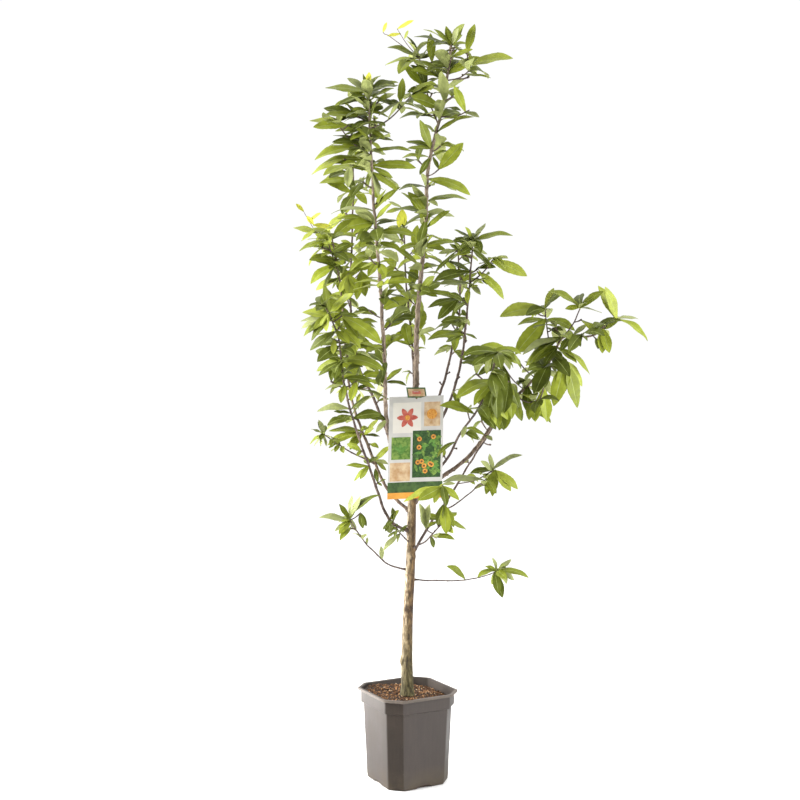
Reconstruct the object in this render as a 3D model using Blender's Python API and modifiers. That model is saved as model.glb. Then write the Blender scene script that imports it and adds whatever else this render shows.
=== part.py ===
"""Potted medlar tree: a young fruit tree in a square nursery pot with cut corners.

Metres, +Z up. The origin is the middle of the pot's flat underside. +X is the side of the long
right bough, and -Y is the front, where the hang label faces. The trunk and each bough taper along
one smooth route. Each mass of foliage goes on from its bough's tip, and one seeded rule sets its
twigs and leaves.
"""

import math
import random
from dataclasses import dataclass

import bmesh
import bpy
from mathutils import Matrix, Vector
from mathutils.bvhtree import BVHTree
from mathutils.kdtree import KDTree

NAME = "potted_medlar_tree"
SEED = 23

# Clearance between two solids that touch
GAP = 0.0003

# Pot: a square with cut corners, an upper band that steps out, and a turned-out lip
POT_HEIGHT = 0.226
POT_TURN = math.radians(28.7)
LIP_ACROSS = 0.212
BAND_ACROSS = 0.198
WAIST_ACROSS = 0.187
FOOT_ACROSS = 0.171
LIP_CUT = 0.036
FOOT_CUT = 0.030
LIP_HEIGHT = 0.006
BAND_HEIGHT = 0.036
BAND_SLOPE = 0.002
FOOT_ROUND = 0.005
POT_WALL = 0.0022
POT_FLOOR = 0.003
NOTCH_WIDTH = 0.034
NOTCH_HEIGHT = 0.009
NOTCH_DEPTH = 0.006

# Potting bark, slightly heaped towards the trunk
SOIL_EDGE_Z = 0.2065
GROUND_Z = 0.210

# The trunk stands this far off the pot's middle, and every place on the tree moves with it
TREE_OFFSET = Vector((0.003, 0.0, 0.0))
SOIL_FLAT_RADIUS = 0.026

# Trunk and leader: the route's places, and the trunk's radius at heights above the ground
TRUNK_PLACES = (
    (-0.003, 0.0, GROUND_Z + GAP),
    (-0.004, 0.0, 0.295),
    (-0.002, 0.0, 0.408),
    (0.005, 0.0, 0.554),
    (0.009, 0.0, 0.741),
    (0.012, 0.0, 0.859),
    (0.0155, 0.0, 0.930),
)
TRUNK_TAPER = ((0.0, 0.0190), (0.022, 0.0155), (0.10, 0.0138), (0.48, 0.0108), (0.72, 0.0066))
FLARE_RING = 0.011
ROUTE_STEP = 0.030
STUB_LENGTH = 0.010

# Hang label: a thin printed sheet that hangs in front of the fork from a collar round the leader
LABEL_WIDTH = 0.135
LABEL_HEIGHT = 0.252
LABEL_THICKNESS = 0.0012
LABEL_TOP = Vector((0.0195, -0.0290, 0.9620))
LABEL_LEAN = 0.030
LABEL_TILT = math.radians(3.0)
LABEL_CURL = 0.010
LABEL_COLUMNS = 4
LABEL_ROWS = 8
HEADER_WIDTH = 0.052
HEADER_HEIGHT = 0.026
COLLAR_RADIUS = 0.0095
COLLAR_HEIGHT = 0.014
COLLAR_Z = 0.973

# Highest leaf tip
CROWN_TOP = 1.917

# Growth rule: spurs follow each other round the stem by the golden angle
GOLDEN_ANGLE = math.radians(137.5)
SPUR_FOOT_RADIUS = 0.0016
SPUR_KNOB_RADIUS = 0.0030
LEAF_WIDTH_SHARE = 0.42
LEAF_THICKNESS_SHARE = 0.022
LEAF_ARCH_SHARE = 0.07
LEAF_ROOT_DEPTH = 0.0030
LEAF_ROLL = 1.15
LEAF_SIDES = 3
TWIG_SIDES = 3
SPACE_MARGIN = 0.003
LIMB_MARGIN = 0.0015
FRUIT_RADIUS = 0.008


@dataclass
class Foliage:
    """How one mass grows: spur spacing and length, leaves a spur, leaf length, droop, reach and top."""

    step: float = 0.042
    spur: float = 0.035
    leaves: int = 3
    leaf: float = 0.100
    droop: float = 0.22
    reach: float = 0.155
    top: float = CROWN_TOP
    fruit_at: float = -1.0


@dataclass
class Shoot:
    """A stem from its foot on a carrier to its tip: a bare bough, then the stem of a mass."""

    name: str
    carrier: str
    foot_z: float
    places: tuple
    foot_radius: float
    tip_radius: float
    bare: float
    foliage: Foliage


SHOOTS = (
    Shoot(
        "leader", "trunk", TRUNK_PLACES[-1][2],
        ((0.019, 0.000, 0.990), (0.021, 0.005, 1.137), (0.032, 0.010, 1.272), (0.044, 0.010, 1.408),
         (0.050, 0.005, 1.541), (0.089, -0.010, 1.708), (0.105, -0.030, 1.840)),
        0.0066, 0.0022, 0.24, Foliage(step=0.052, spur=0.040, leaves=3, leaf=0.108, fruit_at=0.08),
    ),
    Shoot(
        "left_inner", "trunk", 0.735,
        ((-0.039, -0.014, 0.825), (-0.056, -0.022, 0.915), (-0.061, -0.082, 1.074),
         (-0.071, -0.120, 1.254), (-0.085, -0.130, 1.433), (-0.099, -0.120, 1.700)),
        0.0052, 0.0020, 0.30,
        Foliage(step=0.054, spur=0.038, leaves=3, leaf=0.104, top=1.770),
    ),
    Shoot(
        "left_back", "left_inner", 0.865,
        ((-0.095, 0.020, 0.970), (-0.133, 0.070, 1.056), (-0.153, 0.120, 1.215),
         (-0.149, 0.140, 1.376), (-0.145, 0.150, 1.590)),
        0.0036, 0.0018, 0.15, Foliage(step=0.054, spur=0.036, leaves=3),
    ),
    Shoot(
        "left_low", "trunk", 0.622,
        ((-0.049, -0.020, 0.654), (-0.094, -0.050, 0.777), (-0.136, -0.090, 0.904),
         (-0.159, -0.120, 1.008), (-0.170, -0.140, 1.103), (-0.201, -0.150, 1.177)),
        0.0038, 0.0018, 0.52, Foliage(step=0.041, spur=0.030, leaves=3, leaf=0.087),
    ),
    Shoot(
        "left_outer", "trunk", 0.668,
        ((-0.053, 0.012, 0.726), (-0.099, 0.030, 0.825), (-0.145, 0.050, 0.953),
         (-0.161, 0.060, 1.081), (-0.174, 0.060, 1.236), (-0.196, 0.050, 1.368)),
        0.0042, 0.0018, 0.44, Foliage(step=0.056, spur=0.034, leaves=3, leaf=0.087, fruit_at=0.3),
    ),
    Shoot(
        "back", "trunk", 0.860,
        ((0.014, 0.050, 0.993), (0.008, 0.110, 1.122), (-0.006, 0.170, 1.272), (-0.011, 0.200, 1.423)),
        0.0036, 0.0018, 0.38, Foliage(step=0.049, spur=0.034, leaves=3),
    ),
    Shoot(
        "right_back", "trunk", 0.825,
        ((0.082, 0.050, 0.973), (0.109, 0.080, 1.069), (0.135, 0.110, 1.191), (0.131, 0.130, 1.348)),
        0.0040, 0.0018, 0.45, Foliage(step=0.046, spur=0.034, leaves=3),
    ),
    Shoot(
        "right_front", "trunk", 0.785,
        ((0.091, -0.012, 0.922), (0.125, -0.030, 1.025), (0.142, -0.055, 1.150), (0.157, -0.080, 1.344)),
        0.0042, 0.0018, 0.47, Foliage(step=0.046, spur=0.036, leaves=3, leaf=0.109),
    ),
    Shoot(
        "right_inner", "trunk", 0.722,
        ((0.085, -0.024, 0.791), (0.129, -0.050, 0.872), (0.176, -0.080, 0.943), (0.215, -0.110, 1.069)),
        0.0036, 0.0017, 0.38, Foliage(step=0.049, spur=0.030, leaves=3, leaf=0.094),
    ),
    Shoot(
        "right_long", "trunk", 0.692,
        ((0.078, 0.024, 0.751), (0.159, 0.040, 0.814), (0.248, 0.050, 0.930), (0.355, 0.050, 1.042),
         (0.397, 0.040, 1.114), (0.463, 0.020, 1.114), (0.497, 0.000, 1.142)),
        0.0058, 0.0022, 0.44,
        Foliage(step=0.049, spur=0.045, leaves=3, leaf=0.110, droop=0.35, reach=0.175),
    ),
    Shoot(
        "right_low", "trunk", 0.556,
        ((0.061, 0.030, 0.647), (0.104, 0.060, 0.702), (0.169, 0.100, 0.801), (0.212, 0.120, 0.863),
         (0.270, 0.150, 0.953)),
        0.0036, 0.0016, 0.68, Foliage(step=0.037, spur=0.032, leaves=3, leaf=0.096, droop=0.45),
    ),
    Shoot(
        "low_left", "trunk", 0.524,
        ((-0.049, -0.010, 0.539), (-0.107, -0.030, 0.596), (-0.146, -0.050, 0.655)),
        0.0022, 0.0014, 0.62, Foliage(step=0.029, spur=0.020, leaves=3, leaf=0.069, droop=0.10, fruit_at=0.6),
    ),
    Shoot(
        "low_right", "trunk", 0.500,
        ((0.116, -0.010, 0.499), (0.178, -0.030, 0.511), (0.219, -0.040, 0.528)),
        0.0020, 0.0012, 0.66, Foliage(step=0.037, spur=0.012, leaves=3, leaf=0.064, droop=0.4),
    ),
    Shoot(
        "mid_right", "right_low", 0.664,
        ((0.127, 0.024, 0.693), (0.197, -0.012, 0.757)),
        0.0020, 0.0014, 0.62, Foliage(step=0.032, spur=0.020, leaves=3, leaf=0.073, droop=0.15),
    ),
    Shoot(
        "mid_left", "left_outer", 0.790,
        ((-0.156, 0.020, 0.826), (-0.218, 0.000, 0.869)),
        0.0020, 0.0014, 0.55, Foliage(step=0.032, spur=0.020, leaves=3, leaf=0.064, droop=0.15),
    ),
    Shoot(
        "front_low", "trunk", 0.578,
        ((0.045, -0.045, 0.606), (0.090, -0.082, 0.662)),
        0.0022, 0.0014, 0.42, Foliage(step=0.037, spur=0.022, leaves=3, leaf=0.087),
    ),
    Shoot(
        "front_left", "trunk", 0.590,
        ((-0.022, -0.035, 0.622), (-0.040, -0.055, 0.655)),
        0.0018, 0.0013, 0.50, Foliage(step=0.032, spur=0.012, leaves=3, leaf=0.058),
    ),
)

# Side stems inside a mass: the mass, the height where each leaves the stem, and its tip
SIDE_STEMS = (
    ("leader", 1.646, (-0.008, 0.030, 1.845)),
    ("leader", 1.665, (0.150, -0.040, 1.672)),
    ("leader", 1.753, (0.150, -0.060, 1.765)),
    ("left_inner", 1.605, (0.006, -0.090, 1.695)),
    ("left_inner", 1.540, (-0.172, -0.135, 1.615)),
    ("left_back", 1.440, (-0.205, 0.110, 1.500)),
    ("left_outer", 1.300, (-0.232, 0.035, 1.392)),
    ("right_front", 1.240, (0.208, -0.090, 1.300)),
    ("right_long", 1.060, (0.354, 0.080, 1.190)),
    ("right_long", 1.111, (0.432, -0.010, 1.185)),
    ("right_long", 1.118, (0.530, -0.020, 1.098)),
    ("right_long", 0.960, (0.330, -0.040, 0.955)),
)
SIDE_STEM_RADIUS = 0.0020
SIDE_STEM_STEP = 0.050

# Colours and roughness of the bark, leaves and pot
BARK = ((0.235, 0.190, 0.145), 0.85)
YOUNG_BARK = ((0.120, 0.078, 0.060), 0.75)
LEAF = ((0.150, 0.260, 0.060), 0.50)
POT_PLASTIC = ((0.115, 0.108, 0.100), 0.45)
POTTING_BARK = ((0.130, 0.058, 0.030), 0.95)
LABEL_PRINT = ((0.520, 0.560, 0.420), 0.40)


# Materials and scene


def make_material(name, look):
    """A Principled material with one colour and roughness."""
    colour, roughness = look
    material = bpy.data.materials.new(name)
    material.use_nodes = True
    shader = material.node_tree.nodes["Principled BSDF"]
    shader.inputs["Base Color"].default_value = (*colour, 1.0)
    shader.inputs["Roughness"].default_value = roughness
    shader.inputs["Metallic"].default_value = 0.0
    return material


def clear_scene():
    """Remove every object, so that the script starts from nothing."""
    for thing in list(bpy.data.objects):
        bpy.data.objects.remove(thing, do_unlink=True)


def new_collection(name):
    """A collection under the scene's own one."""
    collection = bpy.data.collections.new(name)
    bpy.context.scene.collection.children.link(collection)
    return collection


def add_object(name, mesh, collection, look=None):
    """An object for a mesh, with its own material where a look is given."""
    thing = bpy.data.objects.new(name, mesh)
    collection.objects.link(thing)
    if look is not None:
        mesh.materials.clear()
        mesh.materials.append(make_material(name + "_finish", look))
    return thing


def mesh_from(bm, name):
    """A mesh with its faces turned outward, from a bmesh that is then freed."""
    bmesh.ops.recalc_face_normals(bm, faces=bm.faces[:])
    mesh = bpy.data.meshes.new(name)
    bm.to_mesh(mesh)
    bm.free()
    return mesh


def evaluated_mesh(thing):
    """A new mesh of an object as its modifiers leave it."""
    bpy.context.view_layer.update()
    graph = bpy.context.evaluated_depsgraph_get()
    return bpy.data.meshes.new_from_object(thing.evaluated_get(graph))


def apply_modifiers(thing):
    """Put the evaluated mesh in place of the object's own mesh and modifiers."""
    mesh = evaluated_mesh(thing)
    old = thing.data
    thing.modifiers.clear()
    thing.data = mesh
    bpy.data.meshes.remove(old)


def cut(thing, cutter):
    """Take the cutter's shape away from an object, and keep the result."""
    modifier = thing.modifiers.new("cut_" + cutter.name, "BOOLEAN")
    modifier.operation = "DIFFERENCE"
    modifier.solver = "EXACT"
    modifier.object = cutter
    apply_modifiers(thing)


# Routes and tubes


def on_tree(place):
    """A named place, moved with the tree."""
    return Vector(place) + TREE_OFFSET


def smooth_route(places, step):
    """Points at even spacing on a Catmull-Rom curve through the places."""
    ends = [2 * places[0] - places[1], *places, 2 * places[-1] - places[-2]]
    fine = []
    for before, start, end, after in zip(ends, ends[1:], ends[2:], ends[3:]):
        for part in range(16):
            t = part / 16
            fine.append(
                0.5 * (2 * start + (end - before) * t
                       + (2 * before - 5 * start + 4 * end - after) * t ** 2
                       + (3 * start - before - 3 * end + after) * t ** 3)
            )
    fine.append(places[-1].copy())
    length = route_length(fine)
    count = max(2, round(length / step))
    return [point_along(fine, length * index / count)[0] for index in range(count + 1)]


def route_length(points):
    """Length of a route of straight runs."""
    return sum((after - before).length for before, after in zip(points, points[1:]))


def point_along(points, distance):
    """The place and the direction at a distance along a route."""
    for before, after in zip(points, points[1:]):
        run = (after - before).length
        if distance <= run:
            return before.lerp(after, distance / run), (after - before).normalized()
        distance -= run
    return points[-1].copy(), (points[-1] - points[-2]).normalized()


def point_at_height(points, height):
    """The first place on a route that reaches a height."""
    for before, after in zip(points, points[1:]):
        if before.z <= height <= after.z:
            return before.lerp(after, (height - before.z) / (after.z - before.z))
    return points[-1].copy()


def split_route(points, share):
    """Two routes, cut at a share of the length, the second one a gap further on."""
    distance = route_length(points) * share
    place, along = point_along(points, distance)
    lower, upper, walked = [points[0]], [], 0.0
    for before, after in zip(points, points[1:]):
        walked += (after - before).length
        if walked < distance - STUB_LENGTH:
            lower.append(after)
        elif walked > distance + STUB_LENGTH:
            upper.append(after)
    lower += [place - along * STUB_LENGTH / 2, place]
    upper = [place + along * GAP, place + along * STUB_LENGTH / 2] + upper
    return lower, upper


def tube(name, points, radii, resolution, collection):
    """A tapered round limb with closed ends, as a mesh object."""
    curve = bpy.data.curves.new(name, "CURVE")
    curve.dimensions = "3D"
    curve.bevel_depth = 1.0
    curve.bevel_resolution = resolution
    curve.use_fill_caps = True
    curve.render_resolution_u = 0
    spline = curve.splines.new("POLY")
    spline.points.add(len(points) - 1)
    for knot, place, radius in zip(spline.points, points, radii):
        knot.co = (*place, 1.0)
        knot.radius = radius
    draft = bpy.data.objects.new(name + "_draft", curve)
    collection.objects.link(draft)
    mesh = evaluated_mesh(draft)
    bpy.data.objects.remove(draft, do_unlink=True)
    bpy.data.curves.remove(curve)
    bm = bmesh.new()
    bm.from_mesh(mesh)
    bpy.data.meshes.remove(mesh)
    bmesh.ops.remove_doubles(bm, verts=bm.verts[:], dist=0.00001)
    return add_object(name, mesh_from(bm, name), collection)


def finish_limb(thing, look):
    """Smooth shading and the limb's own material."""
    thing.data.materials.clear()
    thing.data.materials.append(make_material(thing.name + "_finish", look))
    thing.data.shade_smooth()
    thing.data.set_sharp_from_angle(angle=math.radians(50))


# Pot and soil


def cut_square(across, corner, z):
    """Eight corners of a square with cut corners, turned as the pot stands."""
    half = across / 2
    near = half - corner
    corners = ((near, -half), (half, -near), (half, near), (near, half),
               (-near, half), (-half, near), (-half, -near), (-near, -half))
    turn = Matrix.Rotation(POT_TURN, 3, "Z")
    return [turn @ Vector((x, y, z)) for x, y in corners]


def loft(rings):
    """A closed skin through rings of as many corners each, with the first and last filled."""
    bm = bmesh.new()
    loops = [[bm.verts.new(corner) for corner in ring] for ring in rings]
    for low, high in zip(loops, loops[1:]):
        for index in range(len(low)):
            after = (index + 1) % len(low)
            bm.faces.new((low[index], low[after], high[after], high[index]))
    bm.faces.new(loops[0])
    bm.faces.new(loops[-1])
    return bm


def pot_cut(across):
    """The length cut off each corner, which grows with the pot's width."""
    share = (across - FOOT_ACROSS) / (LIP_ACROSS - FOOT_ACROSS)
    return FOOT_CUT + (LIP_CUT - FOOT_CUT) * share


def pot_ring(across, z, inset=0.0):
    """A ring of the pot's outside, or of its inside where an inset is given."""
    width = across - 2 * inset
    return cut_square(width, pot_cut(across) - inset * (2 - math.sqrt(2)), z)


def band_foot_z():
    """Height of the step under the pot's upper band."""
    return POT_HEIGHT - BAND_HEIGHT


def inner_across(z):
    """Width of the pot's outside under its band at a height."""
    return FOOT_ACROSS + (WAIST_ACROSS - FOOT_ACROSS) * z / band_foot_z()


def build_pot(parts, cutters):
    """The open pot: outer wall, lip, inner wall and floor in one skin, with foot notches cut out."""
    step_z = band_foot_z()
    lip_z = POT_HEIGHT - LIP_HEIGHT
    rings = [
        pot_ring(FOOT_ACROSS - 2 * FOOT_ROUND, 0.0),
        pot_ring(FOOT_ACROSS, FOOT_ROUND),
        pot_ring(WAIST_ACROSS, step_z - BAND_SLOPE),
        pot_ring(BAND_ACROSS, step_z),
        pot_ring(BAND_ACROSS, lip_z),
        pot_ring(LIP_ACROSS, lip_z),
        pot_ring(LIP_ACROSS, POT_HEIGHT),
        pot_ring(BAND_ACROSS, POT_HEIGHT, POT_WALL),
        pot_ring(BAND_ACROSS, step_z + POT_WALL, POT_WALL),
        pot_ring(WAIST_ACROSS, step_z - BAND_SLOPE, POT_WALL),
        pot_ring(inner_across(POT_FLOOR), POT_FLOOR, POT_WALL),
    ]
    pot = add_object("pot", mesh_from(loft(rings), "pot"), parts, POT_PLASTIC)
    for side in range(4):
        bm = bmesh.new()
        bmesh.ops.create_cone(bm, cap_ends=True, segments=12, radius1=0.5, radius2=0.5, depth=1.0)
        turn = Matrix.Rotation(POT_TURN + side * math.pi / 2, 4, "Z")
        place = Matrix.Translation((FOOT_ACROSS / 2, 0.0, 0.0))
        size = Matrix.Diagonal((NOTCH_DEPTH, NOTCH_WIDTH, 2 * NOTCH_HEIGHT, 1.0))
        lay = Matrix.Rotation(math.pi / 2, 4, "Y")
        bmesh.ops.transform(bm, matrix=turn @ place @ size @ lay, verts=bm.verts[:])
        notch = add_object(f"foot_notch_{side}", mesh_from(bm, "foot_notch"), cutters)
        notch.hide_render = True
        notch.display_type = "WIRE"
        cut(pot, notch)
    return pot


def build_soil(parts):
    """Potting bark that fills the pot and rises a little to a flat seat under the trunk."""
    step_z = band_foot_z()
    inset = POT_WALL + GAP
    foot_z = POT_FLOOR + GAP
    middle = on_tree(TRUNK_PLACES[0])
    seat = []
    for index in range(8):
        angle = POT_TURN + math.radians(45 * index - 67.5)
        seat.append(Vector((middle.x, middle.y, GROUND_Z))
                    + SOIL_FLAT_RADIUS * Vector((math.cos(angle), math.sin(angle), 0)))
    rings = [
        pot_ring(inner_across(foot_z), foot_z, inset),
        pot_ring(WAIST_ACROSS, step_z - BAND_SLOPE, inset),
        pot_ring(BAND_ACROSS, step_z + POT_WALL + GAP, inset),
        pot_ring(BAND_ACROSS, SOIL_EDGE_Z, inset),
        seat,
    ]
    return add_object("soil", mesh_from(loft(rings), "soil"), parts, POTTING_BARK)


# Trunk and boughs


def trunk_radius(height):
    """The trunk's radius at a height above the ground, between the taper's steps."""
    for (low, wide), (high, narrow) in zip(TRUNK_TAPER, TRUNK_TAPER[1:]):
        if height <= high:
            return wide + (narrow - wide) * (height - low) / (high - low)
    return TRUNK_TAPER[-1][1]


def trunk_route():
    """The trunk's route, with two close rings at the root flare and a level cut at the ground."""
    points = smooth_route([on_tree(place) for place in TRUNK_PLACES], ROUTE_STEP)
    foot = points[0]
    flare = [foot + Vector((0, 0, FLARE_RING * index)) for index in range(1, 3)]
    return [foot, *flare, *points[2:]]


def shoot_route(shoot, routes):
    """A shoot's whole route from its foot on the carrier's axis to its tip."""
    carrier = routes[shoot.carrier]
    places = [on_tree(place) for place in shoot.places]
    if shoot.name == "leader":
        along = (carrier[-1] - carrier[-2]).normalized()
        start = carrier[-1] + along * GAP
        return [start, *smooth_route([start + along * STUB_LENGTH, *places], ROUTE_STEP)]
    return smooth_route([point_at_height(carrier, shoot.foot_z), *places], ROUTE_STEP)


def taper(points, foot_radius, tip_radius, before=0.0, after=0.0):
    """Radii that fall evenly from foot to tip, over a route and what lies before and after it."""
    whole = before + route_length(points) + after
    radii, walked = [], before
    for index, place in enumerate(points):
        if index:
            walked += (place - points[index - 1]).length
        radii.append(foot_radius + (tip_radius - foot_radius) * walked / whole)
    return radii


def build_limbs(parts, cutters):
    """The trunk and every bough, each seated on its carrier; returns them with the masses' stems."""
    routes = {"trunk": trunk_route()}
    trunk_radii = [trunk_radius(place.z - GROUND_Z) for place in routes["trunk"]]
    limbs = {"trunk": tube("trunk", routes["trunk"], trunk_radii, 4, parts)}
    sleeves = {"trunk": (routes["trunk"], trunk_radii)}
    stems = {}
    for shoot in SHOOTS:
        route = shoot_route(shoot, routes)
        lower, upper = split_route(route, shoot.bare)
        bare_length, stem_length = route_length(lower), route_length(upper)
        radii = taper(lower, shoot.foot_radius, shoot.tip_radius, after=stem_length)
        limb = tube(shoot.name + "_bough", lower, radii, 1, parts)
        if shoot.name != "leader":
            seat = cutter_sleeve(shoot.carrier, sleeves[shoot.carrier], cutters)
            cut(limb, seat)
        stem_radii = taper(upper, shoot.foot_radius, shoot.tip_radius, before=bare_length)
        routes[shoot.name] = route
        sleeves[shoot.name] = (lower, radii)
        limbs[shoot.name] = limb
        stems[shoot.name] = (upper, stem_radii)
    finish_limb(limbs["trunk"], BARK)
    for shoot in SHOOTS:
        finish_limb(limbs[shoot.name], YOUNG_BARK)
    return limbs, sleeves, stems


def cutter_sleeve(name, sleeve, cutters):
    """A carrier's own shape grown by the gap, which seats what it carries."""
    points, radii = sleeve
    label = name + "_sleeve"
    if label in bpy.data.objects:
        return bpy.data.objects[label]
    resolution = 4 if name == "trunk" else 1
    thing = tube(label, points, [radius + GAP for radius in radii], resolution, cutters)
    thing.hide_render = True
    thing.display_type = "WIRE"
    return thing


# Hang label


def build_label(parts, cutters, leader_sleeve):
    """A curved sheet with a header and a collar that goes round the leader."""
    bm = bmesh.new()
    bmesh.ops.create_grid(bm, x_segments=LABEL_COLUMNS, y_segments=LABEL_ROWS, size=0.5)
    tilt = Matrix.Rotation(LABEL_TILT, 3, "Y")
    for vert in bm.verts:
        across, down = vert.co.x, 0.5 - vert.co.y
        sag = LABEL_LEAN * down + LABEL_CURL * (down ** 4) - 0.006 * (1 - (2 * across) ** 2)
        flat = Vector((across * LABEL_WIDTH, -sag, -down * LABEL_HEIGHT))
        vert.co = on_tree(LABEL_TOP) + tilt @ flat
    label = add_object("hang_label", mesh_from(bm, "hang_label"), parts, LABEL_PRINT)
    solid = label.modifiers.new("thickness", "SOLIDIFY")
    solid.thickness = LABEL_THICKNESS
    solid.offset = 0.0
    apply_modifiers(label)
    axis = point_at_height(leader_sleeve[0], COLLAR_Z)
    top = on_tree(LABEL_TOP)
    extras = bpy.data.collections.new("label_extras")
    bpy.context.scene.collection.children.link(extras)
    pieces = (
        ((top.x, top.y + 0.0052, top.z + HEADER_HEIGHT / 2 - 0.004),
         (HEADER_WIDTH, LABEL_THICKNESS, HEADER_HEIGHT)),
        ((axis.x, (axis.y + top.y) / 2 + 0.002, COLLAR_Z),
         (2 * LABEL_THICKNESS, abs(top.y - axis.y), COLLAR_HEIGHT)),
    )
    for index, (place, size) in enumerate(pieces):
        bm = bmesh.new()
        bmesh.ops.create_cube(bm, size=1.0)
        bmesh.ops.transform(
            bm, matrix=Matrix.Translation(place) @ Matrix.Diagonal((*size, 1.0)), verts=bm.verts[:])
        add_object(f"label_piece_{index}", mesh_from(bm, "label_piece"), extras)
    bm = bmesh.new()
    bmesh.ops.create_cone(bm, cap_ends=True, segments=12, radius1=COLLAR_RADIUS,
                          radius2=COLLAR_RADIUS, depth=COLLAR_HEIGHT)
    bmesh.ops.translate(bm, vec=(axis.x, axis.y, COLLAR_Z), verts=bm.verts[:])
    add_object("label_collar", mesh_from(bm, "label_collar"), extras)
    union_with(label, extras)
    cut(label, cutter_sleeve("leader", leader_sleeve, cutters))
    return label


# Foliage


def is_closed(mesh):
    """Whether each edge of a mesh joins just two faces."""
    bm = bmesh.new()
    bm.from_mesh(mesh)
    closed = all(edge.is_manifold for edge in bm.edges)
    bm.free()
    return closed


def union_with(thing, collection):
    """Join a collection's closed bodies to an object by one union, then remove them."""
    modifier = thing.modifiers.new("join", "BOOLEAN")
    modifier.operation = "UNION"
    modifier.operand_type = "COLLECTION"
    modifier.collection = collection
    for solver in ("EXACT", "MANIFOLD"):
        modifier.solver = solver
        joined = evaluated_mesh(thing)
        keep_main_body(joined)
        if is_closed(joined):
            break
    old = thing.data
    thing.modifiers.clear()
    thing.data = joined
    bpy.data.meshes.remove(old)
    for piece in list(collection.objects):
        mesh = piece.data
        bpy.data.objects.remove(piece, do_unlink=True)
        bpy.data.meshes.remove(mesh)
    bpy.data.collections.remove(collection)


def keep_main_body(mesh):
    """Drop loose scraps and the inner skins of sealed hollows, and keep the one main body."""
    bm = bmesh.new()
    bm.from_mesh(mesh)
    bmesh.ops.triangulate(bm, faces=bm.faces[:])
    left, bodies = set(bm.verts), []
    while left:
        body, edge = set(), [left.pop()]
        while edge:
            vert = edge.pop()
            body.add(vert)
            for link in vert.link_edges:
                other = link.other_vert(vert)
                if other in left:
                    left.discard(other)
                    edge.append(other)
        bodies.append(body)
    main = max(bodies, key=len)
    spare = [vert for body in bodies if body is not main for vert in body]
    bmesh.ops.delete(bm, geom=spare, context="VERTS")
    bm.to_mesh(mesh)
    bm.free()


def leaf_points(root, along, across, length, droop):
    """Corner places of one leaf: root, tip, two sides, and the ridge over the middle."""
    normal = along.cross(across)
    if normal.z < 0:
        across, normal = -across, -normal
    half = length * LEAF_WIDTH_SHARE / 2
    thick = length * LEAF_THICKNESS_SHARE
    middle = root + along * length * 0.48 + normal * length * LEAF_ARCH_SHARE
    tip = root + along * length - Vector((0, 0, 1)) * length * droop * 0.30
    return {
        "root": root, "tip": tip, "left": middle - across * half, "right": middle + across * half,
        "ridge": middle + normal * thick,
    }


def leaf_body(points, name, collection):
    """A thin arched blade with a ridge, drawn out of a sphere of three sides and two bands."""
    bm = bmesh.new()
    bmesh.ops.create_uvsphere(bm, u_segments=LEAF_SIDES, v_segments=2, radius=1.0)
    poles = [vert for vert in bm.verts if abs(vert.co.z) > 0.5]
    middle = [vert for vert in bm.verts if abs(vert.co.z) <= 0.5]
    poles.sort(key=lambda vert: vert.co.z)
    middle.sort(key=lambda vert: math.atan2(vert.co.y, vert.co.x))
    for vert, corner in zip(poles + middle, ("root", "tip", "ridge", "left", "right")):
        vert.co = points[corner]
    bmesh.ops.triangulate(bm, faces=bm.faces[:])
    return add_object(name, mesh_from(bm, name), collection)


def twig_body(foot, tip, foot_radius, tip_radius, name, collection):
    """A straight three-sided twig between two places."""
    bm = bmesh.new()
    length = (tip - foot).length
    bmesh.ops.create_cone(bm, cap_ends=True, segments=TWIG_SIDES, radius1=foot_radius,
                          radius2=tip_radius, depth=length)
    turn = (tip - foot).to_track_quat("Z", "Y").to_matrix().to_4x4()
    bmesh.ops.transform(bm, matrix=Matrix.Translation((foot + tip) / 2) @ turn, verts=bm.verts[:])
    return add_object(name, mesh_from(bm, name), collection)


def perpendicular(along, angle):
    """A direction square to another one, turned round it by an angle."""
    side = along.cross(Vector((0, 1, 0)))
    if side.length < 0.1:
        side = along.cross(Vector((1, 0, 0)))
    return Matrix.Rotation(angle, 3, along) @ side.normalized()


class Space:
    """Where a mass may grow: within reach of its own stems, nearer to them than to any other."""

    def __init__(self, own_routes, other_routes, reach, top, obstacles):
        self.reach = reach
        self.top = top
        self.own = self.tree_of(own_routes)
        self.others = self.tree_of(other_routes)
        self.obstacles = obstacles

    @staticmethod
    def tree_of(routes):
        """A search tree of places at close spacing along routes."""
        places = []
        for route in routes:
            length = route_length(route)
            count = max(2, int(length / 0.006))
            places += [point_along(route, length * index / count)[0] for index in range(count + 1)]
        tree = KDTree(len(places))
        for index, place in enumerate(places):
            tree.insert(place, index)
        tree.balance()
        return tree

    def holds(self, points):
        """Whether every point lies in the space."""
        for point in points:
            own = self.own.find(point)[2]
            if point.z > self.top or own > self.reach or own + SPACE_MARGIN > self.others.find(point)[2]:
                return False
        return True

    def clear(self, tree):
        """Whether a body keeps clear of the limbs, the label, the pot and the masses before it."""
        return not any(tree.overlap(obstacle) for obstacle in self.obstacles)


def mesh_tree(mesh):
    """A search tree of a mesh's faces."""
    return BVHTree.FromPolygons([vert.co for vert in mesh.vertices],
                                [face.vertices for face in mesh.polygons])


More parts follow.
